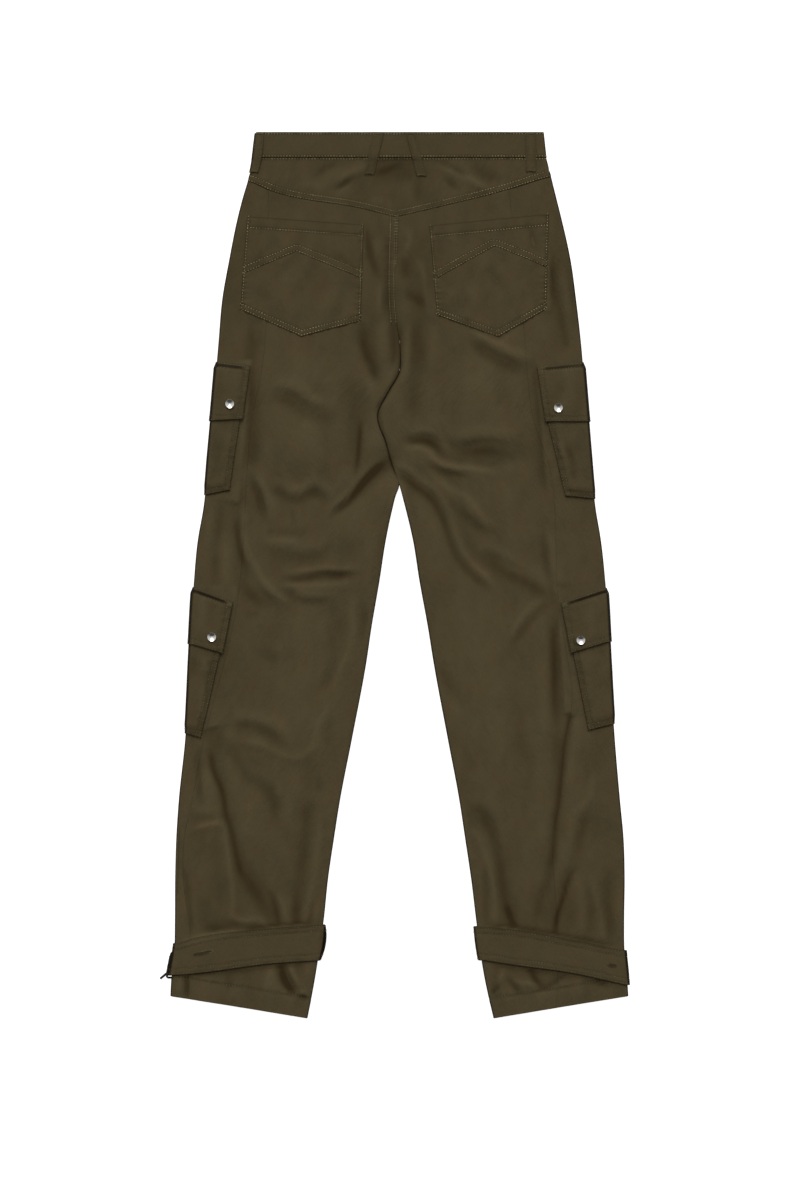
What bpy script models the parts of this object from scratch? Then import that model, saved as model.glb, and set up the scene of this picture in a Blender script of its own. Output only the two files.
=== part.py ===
"""Cargo trousers of olive twill, laid out flat on their front.

The trousers lie on the ground plane, back side up, waist towards +Y, the wearer's left leg
towards -X.  The origin is at the middle of the footprint.  Every table below is in millimetres:
"down" runs from the top of the waistband towards the hems, "across" from the centre line
towards +X.  Each cut piece is one closed wall of cloth.
"""
import math
from collections import namedtuple

import bmesh
import bpy
import numpy as np

MM = 0.001

# ---- driving sizes, in millimetres -------------------------------------------------------------
CENTRE_ACROSS = -6.44     # across value of the middle of the footprint
CENTRE_DOWN = 576.25      # down value of the middle of the footprint
CLOTH = 1.5               # wall of a panel
BAND_CLOTH = 2.2          # wall of the waistband, which is turned double
STRAP_CLOTH = 1.8         # wall of the ankle straps
SEAM_GAP = 0.3            # clear space between two pieces that are sewn edge to edge
LAY_GAP = 0.4             # clear space under a piece that is sewn on top of a panel
BAG_GAP = 0.8             # the same under a cargo pocket, which hangs a little off its panel
BODY_RISE = 7.0           # from the underside to the top of the two layers
LEAST_RISE = 3.8          # the same at the bottom of the deepest crease
LIFT_SHOWS = 0.5          # the share of a lift of the underside that reaches the back
ROLL = 3.5                # how far in from an edge the cloth starts to turn under
WAISTBAND_DEEP = 33.0
CROTCH_DOWN = 461.0
WAIST_LIFT = 1.8          # room under the waist for the loops and the button
STRAP_LIFT = 2.2          # room under the ankles for the straps
POCKET_LIFT = BAG_GAP + CLOTH
FRONT_CENTRE = -0.5
HEM_SKEW = 29.0           # how much lower the hem is at the inner edge than at the outer edge
HEM_LEVEL = 850.0         # from here down the rows of points lean towards the hem
YOKE_LEVEL = 300.0        # from here up they lean towards the yoke seam
ARC_STEPS = (90.0, 45.0, 0.0)
SEAM_ANGLE = 3.0          # half of the slit where two walls meet on an edge, in degrees

# ---- outline -----------------------------------------------------------------------------------
Edges = namedtuple("Edges", "down left right")

OUTER_EDGE = (
    Edges(0, -187.2, 186.7),
    Edges(36, -191.1, 191.1),
    Edges(62, -197.6, 197.6),
    Edges(88, -205.4, 204.1),
    Edges(114, -211.9, 210.6),
    Edges(166, -222.3, 222.0),
    Edges(218, -231.4, 229.2),
    Edges(270, -235.8, 235.0),
    Edges(335, -241.2, 240.5),
    Edges(413, -248.3, 247.0),
    Edges(491, -256.1, 254.8),
    Edges(530, -263.0, 261.3),
    Edges(582, -267.8, 266.8),
    Edges(686, -273.7, 273.0),
    Edges(790, -279.5, 279.5),
    Edges(868, -287.8, 286.2),
    Edges(920, -291.2, 291.0),
    Edges(972, -292.6, 292.4),
    Edges(1024, -292.8, 291.6),
    Edges(1063, -293.6, 292.0),
    Edges(1102, -297.4, 295.4),
    Edges(1153, -299.5, 299.0),
)

# From the crotch up both columns are the centre back seam.
INNER_EDGE = (
    Edges(0, -5.6, -5.6),
    Edges(110, -5.6, -5.6),
    Edges(242, -5.2, -5.2),
    Edges(284, 0.4, 0.4),
    Edges(313, -1.6, -1.6),
    Edges(341, -17.0, -17.0),
    Edges(364, -28.5, -28.5),
    Edges(405, -18.0, -18.0),
    Edges(434, -10.0, -10.0),
    Edges(461, -1.2, 0.6),
    Edges(491, -7.8, 6.5),
    Edges(530, -15.6, 14.3),
    Edges(582, -24.7, 23.6),
    Edges(686, -42.9, 42.7),
    Edges(790, -62.4, 62.0),
    Edges(868, -77.6, 76.7),
    Edges(920, -85.8, 84.6),
    Edges(972, -93.4, 92.3),
    Edges(1024, -98.8, 98.6),
    Edges(1063, -104.4, 103.6),
    Edges(1102, -110.5, 110.0),
    Edges(1153, -120.3, 121.6),
)

# The seam between the back panel and the side panel, and how far in from the outer edge the
# seam between the side panel and the front panel lies on the underside.
BACK_SIDE_SEAM = (
    Edges(58, -171.0, 139.6),
    Edges(257, -174.2, 161.0),
    Edges(322, -181.5, 166.0),
    Edges(365, -191.1, 171.5),
    Edges(446, -199.0, 196.5),
    Edges(530, -203.5, 202.5),
    Edges(607, -210.6, 205.4),
    Edges(673, -224.0, 215.5),
    Edges(738, -241.5, 224.0),
    Edges(797, -256.5, 213.5),
    Edges(868, -270.0, 208.0),
    Edges(925, -281.0, 198.5),
    Edges(975, -281.5, 200.5),
    Edges(1040, -272.5, 205.4),
    Edges(1153, -278.8, 203.0),
)
FRONT_SEAM_INSET = (
    Edges(0, 128.0, 104.0),
    Edges(620, 128.0, 104.0),
    Edges(1153, 92.0, 80.0),
)

Seam = namedtuple("Seam", "across down")

YOKE_SEAM_LEFT = (
    Seam(-214.0, 61.0),
    Seam(-193.0, 65.5),
    Seam(-171.6, 74.9),
    Seam(-49.4, 99.6),
    Seam(-5.6, 110.5),
)
YOKE_SEAM_RIGHT = (
    Seam(-5.6, 110.5),
    Seam(33.8, 101.5),
    Seam(139.1, 75.4),
    Seam(193.4, 58.9),
    Seam(214.0, 54.0),
)

# ---- folds of the back -------------------------------------------------------------------------
# A fold runs along a smooth line through three places; height is negative for a trough.
Fold = namedtuple("Fold", "start middle end height width")

FOLDS = (
    Fold((-8, 40), (-6, 72), (-8, 108), -1.2, 22),
    Fold((-40, 128), (-34, 165), (-22, 198), -1.6, 10),
    Fold((-55, 246), (-42, 285), (-21, 327), -2.8, 13),
    Fold((-13, 160), (-17, 210), (-17, 262), 2.2, 9),
    Fold((8, 200), (22, 262), (22, 372), -2.2, 13),
    Fold((42, 240), (45, 285), (40, 330), 1.8, 11),
    Fold((84, 258), (118, 284), (162, 303), -2.8, 12),
    Fold((201, 184), (210, 225), (218, 268), -2.0, 9),
    Fold((-170, 327), (-130, 358), (-74, 363), -2.8, 14),
    Fold((-53, 326), (-58, 385), (-57, 450), -2.2, 12),
    Fold((-14, 422), (-50, 464), (-92, 503), -3.1, 8),
    Fold((-30, 398), (-64, 440), (-98, 468), 2.6, 14),
    Fold((-36, 476), (-70, 510), (-112, 530), 2.6, 15),
    Fold((-172, 464), (-128, 466), (-84, 486), -2.6, 12),
    Fold((-197, 434), (-188, 466), (-174, 503), -3.0, 8),
    Fold((-207, 486), (-198, 566), (-142, 620), 4.0, 11),
    Fold((-214, 516), (-213, 550), (-212, 586), -2.4, 8),
    Fold((-155, 577), (-105, 576), (-52, 573), -2.2, 8),
    Fold((-155, 588), (-105, 587), (-52, 583), 2.4, 7),
    Fold((-162, 596), (-120, 603), (-78, 608), -2.2, 8),
    Fold((24, 390), (96, 402), (168, 391), -3.0, 11),
    Fold((-6, 410), (56, 420), (124, 446), 4.2, 11),
    Fold((-6, 430), (30, 466), (76, 522), -3.1, 12),
    Fold((62, 508), (118, 566), (204, 606), -3.1, 13),
    Fold((38, 450), (96, 500), (160, 556), 3.6, 16),
    Fold((12, 470), (60, 540), (112, 588), 2.6, 15),
    Fold((204, 612), (160, 634), (144, 676), -2.8, 9),
    Fold((206, 628), (176, 655), (166, 700), 2.2, 12),
    Fold((162, 676), (164, 760), (160, 870), -1.6, 14),
    Fold((134, 690), (137, 770), (130, 860), 1.8, 16),
    Fold((206, 600), (214, 676), (222, 740), -2.4, 9),
    Fold((222, 740), (212, 800), (208, 872), -2.4, 9),
    Fold((-234, 768), (-212, 824), (-150, 868), -2.6, 12),
    Fold((-247, 812), (-228, 878), (-214, 934), -3.1, 9),
    Fold((-214, 930), (-192, 978), (-146, 1028), -3.0, 11),
    Fold((-262, 908), (-226, 900), (-216, 960), 3.4, 8),
    Fold((-217, 950), (-214, 1006), (-180, 1026), 3.6, 9),
    Fold((-200, 868), (-186, 920), (-150, 980), 2.8, 15),
    Fold((-260, 796), (-260, 830), (-258, 868), -2.0, 9),
    Fold((-133, 880), (-132, 948), (-137, 1016), -2.8, 16),
    Fold((-109, 946), (-112, 980), (-118, 1018), 3.0, 8),
    Fold((105, 876), (132, 944), (156, 1034), -3.1, 11),
    Fold((90, 904), (114, 960), (127, 1026), 3.4, 9),
    Fold((150, 900), (168, 970), (186, 1034), 2.4, 16),
    Fold((229, 956), (213, 986), (205, 1032), -3.1, 8),
    Fold((232, 978), (236, 1010), (238, 1044), 3.4, 9),
    Fold((257, 986), (262, 1016), (262, 1048), 2.8, 8),
)
FOLD_PIECES = 10          # straight pieces that stand for the line of one fold

# ---- sewn-on pieces ----------------------------------------------------------------------------
BackPocket = namedtuple("BackPocket", "name top_left top_right low_right tip low_left peak ends")
BACK_POCKETS = (
    BackPocket("left", (-198.6, 109.8), (-47.3, 120.6), (-51.4, 245.7), (-128.2, 265.9),
               (-207.7, 230.9), 155.2, (184.3, 190.3)),
    BackPocket("right", (38.2, 121.8), (193.4, 106.6), (190.2, 230.1), (127.8, 266.5),
               (48.1, 237.9), 148.2, (192.4, 176.4)),
)

CargoPocket = namedtuple("CargoPocket", "name side flap_top flap_lean flap_end end_lean bottom "
                         "bottom_lean reach_flap reach_end reach_bottom under snap_down snap_in")
CARGO_POCKETS = (
    CargoPocket("upper_left", -1, 298.5, 0.12, 376.0, -0.06, 472.0, -0.20, 43, 38, 32, 106,
                354.0, 22.0),
    CargoPocket("upper_right", 1, 299.0, 0.10, 377.0, 0.0, 477.0, -0.10, 59, 53, 38, 90,
                359.0, 37.0),
    CargoPocket("lower_left", -1, 591.5, 0.36, 665.5, 0.29, 782.0, 0.27, 54, 43, 22, 92,
                656.5, 28.0),
    CargoPocket("lower_right", 1, 592.5, 0.32, 662.5, 0.30, 769.5, 0.25, 61, 51, 36, 84,
                660.5, 37.0),
)
POCKET_MOUTH = 16.0       # the pocket's own top edge, below the top of its flap
POCKET_PUFF = 3.0         # how far a cargo pocket stands off its panel
LIFT_PLATEAU = 26.0       # the room under a pocket goes this far past its front edge
LIFT_MARGIN = 20.0        # and this far past its top and bottom
LIFT_SLOPE = 62.0         # and then runs out over this length

Loop = namedtuple("Loop", "name start end")
BACK_LOOPS = (
    Loop("centre_left", (-27.3, 1.5), (-39.7, 55.0)),
    Loop("centre_right", (14.0, 1.5), (28.0, 57.0)),
    Loop("side_right", (170.0, 1.5), (170.3, 51.5)),
)
FRONT_LOOPS = (
    Loop("front_left", (-95.0, 1.5), (-97.0, 54.0)),
    Loop("front_right", (95.0, 1.5), (97.0, 54.0)),
)
LOOP_WIDE = 12.4
LOOP_CLOTH = 1.4
LOOP_BOW = 0.9

StrapEdge = namedtuple("StrapEdge", "across top bottom")
STRAPS = {
    -1: (StrapEdge(-306, 1060.0, 1097.0), StrapEdge(-270, 1048.7, 1094.5),
         StrapEdge(-169, 1035.5, 1081.5), StrapEdge(-96, 1030.0, 1076.5)),
    1: (StrapEdge(94, 1032.0, 1074.5), StrapEdge(152, 1037.4, 1083.6),
        StrapEdge(222, 1049.9, 1093.3), StrapEdge(306, 1067.5, 1112.0)),
}
STRAP_SLACK = {("outer", -1): 3.4, ("outer", 1): 1.4, ("inner", -1): 4.2, ("inner", 1): 3.4}
STRAP_END_IN = {-1: 6.0, 1: 22.0}      # where the back strap stops on the underside
STRAP_START_IN = {-1: 24.0, 1: 54.0}   # where the front strap starts there

SNAP_RADIUS = 6.25
SNAP_CLEAR = 0.7
SNAP_TALL = 2.2
HIDDEN_SNAP_TALL = 1.5
BUTTON_RADIUS = 8.5
BUTTON_TALL = 1.4
BUCKLE_THICK = 1.8

# Rows of points: each stretch ends at a station and is cut into steps.
Stretch = namedtuple("Stretch", "end steps")
ROW_STRETCHES = (
    Stretch(109, 2), Stretch(246, 5), Stretch(268, 1), Stretch(299, 1), Stretch(377, 3), Stretch(461, 3),
    Stretch(480, 1), Stretch(590, 5), Stretch(665, 3), Stretch(788, 5), Stretch(860, 3),
    Stretch(1031, 7), Stretch(1109, 3), Stretch(1123.5, 1),
)


def material(name, colour, roughness, metallic=0.0):
    made = bpy.data.materials.new(name)
    made.use_nodes = True
    shader = made.node_tree.nodes["Principled BSDF"]
    shader.inputs["Base Color"].default_value = (*colour, 1.0)
    shader.inputs["Roughness"].default_value = roughness
    shader.inputs["Metallic"].default_value = metallic
    made.diffuse_color = (*colour, 1.0)
    return made


# ---- curves through the tables -----------------------------------------------------------------
def smooth_step(low, high, value):
    share = np.clip((value - low) / (high - low), 0.0, 1.0)
    return share * share * (3.0 - 2.0 * share)


def table_curve(rows, key, column):
    """A smooth curve through one column of a table, read at any value of its key column."""
    keys = np.array([getattr(row, key) for row in rows], dtype=float)
    values = np.array([getattr(row, column) for row in rows], dtype=float)
    slopes = np.gradient(values, keys)

    def read(at):
        at = np.clip(at, keys[0], keys[-1])
        i = np.clip(np.searchsorted(keys, at) - 1, 0, len(keys) - 2)
        span = keys[i + 1] - keys[i]
        t = (at - keys[i]) / span
        return ((2 * t**3 - 3 * t**2 + 1) * values[i] + (t**3 - 2 * t**2 + t) * span * slopes[i]
                + (3 * t**2 - 2 * t**3) * values[i + 1] + (t**3 - t**2) * span * slopes[i + 1])
    return read


COLUMN = {-1: "left", 1: "right"}
OUTER = {side: table_curve(OUTER_EDGE, "down", COLUMN[side]) for side in COLUMN}
INNER = {side: table_curve(INNER_EDGE, "down", COLUMN[side]) for side in COLUMN}
BACK_SEAM = {side: table_curve(BACK_SIDE_SEAM, "down", COLUMN[side]) for side in COLUMN}
FRONT_INSET = {side: table_curve(FRONT_SEAM_INSET, "down", COLUMN[side]) for side in COLUMN}
YOKE = {-1: table_curve(YOKE_SEAM_LEFT, "across", "down"),
        1: table_curve(YOKE_SEAM_RIGHT, "across", "down")}
STRAP_TOP = {side: table_curve(STRAPS[side], "across", "top") for side in COLUMN}
STRAP_BOTTOM = {side: table_curve(STRAPS[side], "across", "bottom") for side in COLUMN}


def inner_edge(side, down, front=False):
    """The centre seam above the crotch, the inner edge of the leg below it."""
    edge = INNER[side](down)
    if front:
        edge += (FRONT_CENTRE - edge) * (1.0 - smooth_step(CROTCH_DOWN - 120, CROTCH_DOWN, down))
    return edge + side * 0.5 * SEAM_GAP


def leg_share(down):
    """0 above the crotch, where the halves are sewn together, and 1 on the legs."""
    return smooth_step(CROTCH_DOWN - 14.0, CROTCH_DOWN + 26.0, down)


# ---- heights -----------------------------------------------------------------------------------
def bump(value, low, high, slope):
    """1 between low and high, running out smoothly over slope on each side."""
    return smooth_step(low - slope, low, value) * (1.0 - smooth_step(high, high + slope, value))


def side_of(across, down):
    return -1 if across < 0.5 * (INNER[-1](down) + INNER[1](down)) else 1


def under_lift(side, inset, down):
    """How far the underside is off the ground, for what is sewn on beneath it."""
    lift = WAIST_LIFT * (1.0 - smooth_step(62.0, 104.0, down))
    lift = max(lift, STRAP_LIFT * bump(down, 1012.0, 1116.0, 34.0))
    for pocket in CARGO_POCKETS:
        if pocket.side != side:
            continue
        reach = bump(inset, -50.0, pocket.under + LIFT_PLATEAU, LIFT_SLOPE)
        top = pocket.flap_top - pocket.flap_lean * inset
        flap_end = pocket.flap_end - pocket.end_lean * inset
        bottom = pocket.bottom - pocket.bottom_lean * inset
        pad = POCKET_LIFT * bump(down, top - LIFT_MARGIN, bottom + LIFT_MARGIN, LIFT_SLOPE)
        pad += POCKET_LIFT * bump(down, top - LIFT_MARGIN, flap_end + LIFT_MARGIN, LIFT_SLOPE)
        snap = flap_end - snap_above_end(pocket)
        pad += (HIDDEN_SNAP_TALL + SEAM_GAP) * bump(down, snap - LIFT_MARGIN, snap + LIFT_MARGIN,
                                                    LIFT_SLOPE)
        lift = max(lift, reach * pad)
    return lift


def snap_above_end(pocket):
    return pocket.flap_end + pocket.end_lean * pocket.snap_in - pocket.snap_down


def hidden_snap_down(pocket):
    """The front snap of a flap sits as far above the flap's end as the back one does."""
    inset = pocket.under - pocket.snap_in
    return pocket.flap_end - pocket.end_lean * inset - snap_above_end(pocket)


def fold_lines():
    """The folds' lines as straight pieces, for all folds at once."""
    lines = np.empty((len(FOLDS), FOLD_PIECES + 1, 2))
    for number, fold in enumerate(FOLDS):
        start, middle, end = (np.array(place, dtype=float) for place in fold[:3])
        control = 2.0 * middle - 0.5 * (start + end)
        for step in range(FOLD_PIECES + 1):
            t = step / FOLD_PIECES
            lines[number, step] = ((1 - t)**2 * start + 2 * t * (1 - t) * control + t**2 * end)
    return lines


FOLD_LINES = fold_lines()
FOLD_HEIGHT = np.array([fold.height for fold in FOLDS])
FOLD_WIDTH = np.array([fold.width for fold in FOLDS], dtype=float)


def fold_relief(across, down):
    """The sum of all folds at one place."""
    start = FOLD_LINES[:, :-1]
    along = FOLD_LINES[:, 1:] - start
    away = np.array((across, down)) - start
    t = np.clip((away * along).sum(2) / (along * along).sum(2), 0.0, 1.0)
    distance = np.linalg.norm(away - along * t[..., None], axis=2)
    nearest = distance.argmin(axis=1)
    rows = np.arange(len(FOLDS))
    place = (nearest + t[rows, nearest]) / FOLD_PIECES
    taper = np.clip(np.sin(math.pi * np.clip(place, 0.0, 1.0)), 0.0, 1.0) ** 0.7
    return float((FOLD_HEIGHT * taper * np.exp(-(distance[rows, nearest] / FOLD_WIDTH)**2)).sum())


def calm(side, across, down):
    """1 where folds may run, 0 under the pieces that are sewn on and along the edges."""
    share = smooth_step(WAISTBAND_DEEP + 2, WAISTBAND_DEEP + 22, down)
    for pocket in BACK_POCKETS:
        left, right = pocket.low_left[0], pocket.low_right[0]
        inside = (bump(across, min(left, pocket.top_left[0]), max(right, pocket.top_right[0]), 16.0)
                  * bump(down, pocket.top_left[1] - 6, pocket.tip[1] + 6, 16.0))
        share *= 1.0 - inside
    outer_inset = abs(across - OUTER[side](down))
    for pocket in CARGO_POCKETS:
        if pocket.side == side:
            inside = (bump(outer_inset, -20.0, pocket.reach_flap + 4, 18.0)
                      * bump(down, pocket.flap_top - 4, pocket.bottom + 8, 16.0))
            share *= 1.0 - inside
    share *= 1.0 - bump(down, STRAP_TOP[side](across) - 3, STRAP_BOTTOM[side](across) + 20, 16.0)
    share *= smooth_step(ROLL, ROLL + 16.0, outer_inset)
    inner_inset = abs(across - INNER[side](down))
    on_leg = leg_share(down)
    return share * (1.0 - on_leg + on_leg * smooth_step(ROLL, ROLL + 14.0, inner_inset))


def bottom_height(side, across, down):
    return under_lift(side, abs(across - OUTER[side](down)), down)


def top_height(side, across, down):
    low = bottom_height(side, across, down)
    relief = fold_relief(across, down) * calm(side, across, down)
    return max(BODY_RISE + LIFT_SHOWS * low + relief, low + LEAST_RISE)


def steepness(height, side, across, down):
    """How much longer a wall's upright cut is than its thickness, on a sloping stretch."""
    step = 3.0
    slope_x = (height(side, across + step, down) - height(side, across - step, down)) / (2 * step)
    slope_y = (height(side, across, down + step) - height(side, across, down - step)) / (2 * step)
    return min(math.sqrt(1.0 + slope_x**2 + slope_y**2), 1.25)


# ---- places on the body ------------------------------------------------------------------------
def world(across, down, up):
    return ((across - CENTRE_ACROSS) * MM, (CENTRE_DOWN - down) * MM, up * MM)


def on_top(side, across, down, off):
    slant = steepness(top_height, side, across, down) if off < 0 else 1.0
    return world(across, down, top_height(side, across, down) + off * slant)


def on_bottom(side, across, down, off):
    return world(across, down, bottom_height(side, across, down) - off)


def on_outer_roll(side, angle, down, off):
    """On the turned outer edge: angle 90 is the top, 0 the edge itself, -90 the underside."""
    turn = math.radians(angle)
    edge = OUTER[side](down)
    start = edge - side * ROLL
    top, low = top_height(side, start, down), bottom_height(side, start, down)
    return world(start + side * (ROLL + off) * math.cos(turn), down,
                 0.5 * (top + low) + (0.5 * (top - low) + off) * math.sin(turn))


def on_inner_roll(side, angle, down, off, front=False):
    """On the turned inner edge of a leg, which runs out into the centre seam above the crotch."""
    turn = math.radians(angle)
    share = float(leg_share(down))
    edge = inner_edge(side, down, front)
    across = edge + side * ROLL * (1.0 - math.cos(turn))
    top, low = top_height(side, across, down), bottom_height(side, across, down)
    middle = 0.5 * (top + low)
    flat = top if angle > 0 else low
    rounded = middle + (top - middle) * math.sin(turn)
    out = np.array((-side * share * math.cos(turn),
                    abs(math.sin(turn)) + (1.0 - share) * math.cos(turn)))
    out /= np.linalg.norm(out)
    up = 1.0 if angle > 0 else -1.0
    return world(across + off * out[0], down,
                 flat + share * (rounded - flat) + up * off * out[1])


# ---- meshes ------------------------------------------------------------------------------------
def finish(name, mesh, slot):
    mesh.normal_update()
    bmesh.ops.triangulate(mesh, faces=mesh.faces[:])
    bmesh.ops.recalc_face_normals(mesh, faces=mesh.faces[:])
    data = bpy.data.meshes.new(name)
    mesh.to_mesh(data)
    mesh.free()
    data.materials.append(slot)
    data.shade_smooth()
    data.set_sharp_from_angle(angle=math.radians(38))
    made = bpy.data.objects.new(name, data)
    bpy.context.collection.objects.link(made)
    return made


def wall(name, outer, inner, slot, present=None):
    """A closed wall between two like grids of points; present tells which cells it has."""
    mesh = bmesh.new()
    rows, columns = len(outer), len(outer[0])
    points = [[mesh.verts.new(point) for row in grid for point in row] for grid in (outer, inner)]
    cells = {(r, c) for r in range(rows - 1) for c in range(columns - 1)
             if present is None or present(r, c)}
    for r, c in cells:
        ring = (r * columns + c, r * columns + c + 1, (r + 1) * columns + c + 1,
                (r + 1) * columns + c)
        mesh.faces.new([points[0][i] for i in ring])
        mesh.faces.new([points[1][i] for i in reversed(ring)])
        beside = ((r - 1, c), (r, c + 1), (r + 1, c), (r, c - 1))
        for corner, neighbour in enumerate(beside):
            if neighbour not in cells:
                a, b = ring[corner], ring[(corner + 1) % 4]
                mesh.faces.new((points[0][b], points[0][a], points[1][a], points[1][b]))
    bmesh.ops.delete(mesh, geom=[v for v in mesh.verts if not v.link_faces], context="VERTS")
    return finish(name, mesh, slot)


def two_skins(rows, columns, spot, outside, inside):
    """Two grids of points of one stretch of cloth, at two distances off the body."""
    return [[[spot(row, column, off) for column in columns] for row in rows]
            for off in (outside, inside)]


# ---- rows and columns of the body --------------------------------------------------------------
def yoke_edge(side):
    """Where the yoke seam meets the outer edge."""
    down = 62.0
    for _ in range(6):
        down = float(YOKE[side](OUTER[side](down)))
    return down


def stations(side):
    """The rows of the body, from the yoke seam to the hem, measured along the outer edge."""
    rows = [yoke_edge(side)]
    for stretch in ROW_STRETCHES:
        first = rows[-1]
        rows += [first + (stretch.end - first) * (i + 1) / stretch.steps
                 for i in range(stretch.steps)]
    return rows


def row_down(side, share, station, front):
    """Down at a share of the way in from the outer edge, on the row of a station."""
    down = station + HEM_SKEW * share * smooth_step(HEM_LEVEL, ROW_STRETCHES[-1].end, station)
    if front:
        return float(down)
    lean = 1.0 - smooth_step(yoke_edge(side), YOKE_LEVEL, station)
    at_seam = yoke_edge(side)
    for _ in range(4):
        across = OUTER[side](at_seam) + (inner_edge(side, at_seam) - OUTER[side](at_seam)) * share
        at_seam = float(YOKE[side](across))
    return float(down + (at_seam + 0.5 * SEAM_GAP - yoke_edge(side)) * lean)


def across_at(side, share, down, front):
    return float(OUTER[side](down) + (inner_edge(side, down, front) - OUTER[side](down)) * share)


def share_at(side, station, line, front):
    """The share of the way in at which a row crosses a seam line."""
    share = 0.3
    for _ in range(6):
        down = row_down(side, share, station, front)
        edge = OUTER[side](down)
        share = float((line(down) - edge) / (inner_edge(side, down, front) - edge))
    return share


def back_line(side):
    return lambda down: BACK_SEAM[side](down)


def front_line(side):
    return lambda down: OUTER[side](down) - side * FRONT_INSET[side](down)


def flat_spot(side, line, front, shift, toward_inner):
    """Spots between a seam line and the roll of an edge, counted 0 to 1 from the seam."""
    place = on_bottom if front else on_top

    def spot(station, part, off):
        seam = share_at(side, station, line, front)
        down = row_down(side, seam, station, front)
        width = abs(float(inner_edge(side, down, front) - OUTER[side](down)))
        first = seam + shift / width
        last = 1.0 - ROLL / width if toward_inner else ROLL / width
        share = first + (last - first) * part
        down = row_down(side, share, station, front)
        return place(side, across_at(side, share, down, front), down, off)
    return spot


BACK_PARTS = tuple(i / 8 for i in range(8))
SIDE_PARTS = (0.0, 0.5)
FRONT_PARTS = tuple(i / 4 for i in range(4))
UNDER_PARTS = (0.5, 1.0)


def back_panel(side, slot):
    name = COLUMN[side]
    flat = flat_spot(side, back_line(side), False, 0.5 * SEAM_GAP, True)

    def spot(station, column, off):
        kind, value = column
        if kind == "flat":
            return flat(station, value, off)
        down = row_down(side, 1.0, station, False)
        return on_inner_roll(side, max(value, SEAM_ANGLE), down, off)
    columns = [("flat", part) for part in BACK_PARTS] + [("roll", angle) for angle in ARC_STEPS]
    outer, inner = two_skins(stations(side), columns, spot, 0.0, -CLOTH)
    return wall(f"back_panel_{name}", outer, inner, slot)


def side_panel(side, slot):
    """From the back seam round the outer edge to the front seam on the underside."""
    name = COLUMN[side]
    top = flat_spot(side, back_line(side), False, -0.5 * SEAM_GAP, False)
    under = flat_spot(side, front_line(side), True, -0.5 * SEAM_GAP, False)
    rows = stations(side)
    waist = WAISTBAND_DEEP + SEAM_GAP
    above = [waist, 0.5 * (waist + rows[0])]

    def spot(station, column, off):
        kind, value = column
        if kind == "top":
            return top(max(station, rows[0]), value, off)
        if kind == "under":
            return under(station, 1.0 - value, off)
        if value > 0 and station < rows[0]:
            value = 0.0
        if value == 0 and station < rows[0]:
            value = -SEAM_ANGLE
        return on_outer_roll(side, value, station, off)
    columns = ([("top", part) for part in SIDE_PARTS]
               + [("roll", angle) for angle in ARC_STEPS + (-45.0, -90.0)]
               + [("under", part) for part in UNDER_PARTS])
    edge_column = len(SIDE_PARTS) + len(ARC_STEPS) - 1
    outer, inner = two_skins(above + rows, columns, spot, 0.0, -CLOTH)

    def present(row, column):
        return row >= len(above) or column >= edge_column
    return wall(f"side_panel_{name}", outer, inner, slot, present)


def front_panel(side, slot):
    name = COLUMN[side]
    flat = flat_spot(side, front_line(side), True, 0.5 * SEAM_GAP, True)

    def spot(station, column, off):
        kind, value = column
        if kind == "flat":
            return flat(station, value, off)
        down = row_down(side, 1.0, station, True)
        return on_inner_roll(side, -max(value, SEAM_ANGLE), down, off, front=True)
    columns = [("flat", part) for part in FRONT_PARTS] + [("roll", angle) for angle in ARC_STEPS]
    rows = stations(side)
    waist = WAISTBAND_DEEP + SEAM_GAP
    outer, inner = two_skins([waist, 0.5 * (waist + rows[0])] + rows, columns, spot, 0.0, -CLOTH)
    return wall(f"front_panel_{name}", outer, inner, slot)


def yoke(slot):
    """The shaped piece between the waistband and both back panels."""
    columns = []
    for side in (-1, 1):
        half = [("roll", side, angle) for angle in (SEAM_ANGLE, 45.0, 90.0)]
        station = yoke_edge(side)
        seam = share_at(side, station, back_line(side), False)
        half += [("flat", side, seam * 0.5), ("flat", side, seam)]
        half += [("flat", side, seam + (1.0 - seam) * part) for part in BACK_PARTS[1:]]
        columns += half if side < 0 else [("flat", 1, 1.0)] + half[::-1]

    def spot(part, column, off):
        kind, side, value = column
        first = WAISTBAND_DEEP + SEAM_GAP
        if kind == "roll":
            last = yoke_edge(side) - 0.5 * SEAM_GAP
            return on_outer_roll(side, value, first + (last - first) * part, off)
        last = row_down(side, value, yoke_edge(side), False) - SEAM_GAP
        down = first + (last - first) * part
        return on_top(side, across_at(side, value, down, False), down, off)
    outer, inner = two_skins((0.0, 0.35, 0.7, 1.0), columns, spot, 0.0, -CLOTH)
    return wall("yoke", outer, inner, slot)


def waistband_back(slot):
    columns = ([("roll", -1, angle) for angle in (SEAM_ANGLE, 45.0, 90.0)]
               + [("flat", 0, part) for part in (i / 10 for i in range(1, 10))]
               + [("roll", 1, angle) for angle in (90.0, 45.0, SEAM_ANGLE)])

    def spot(down, column, off):
        kind, side, value = column
        if kind == "roll":
            return on_outer_roll(side, value, down, off)
        left, right = OUTER[-1](down) + ROLL, OUTER[1](down) - ROLL
        across = float(left + (right - left) * value)
        return on_top(side_of(across, down), across, down, off)
    outer, inner = two_skins((0.0, 0.5 * WAISTBAND_DEEP, WAISTBAND_DEEP), columns, spot,
                             0.5, 0.5 - BAND_CLOTH)
    return wall("waistband_back", outer, inner, slot)


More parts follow.
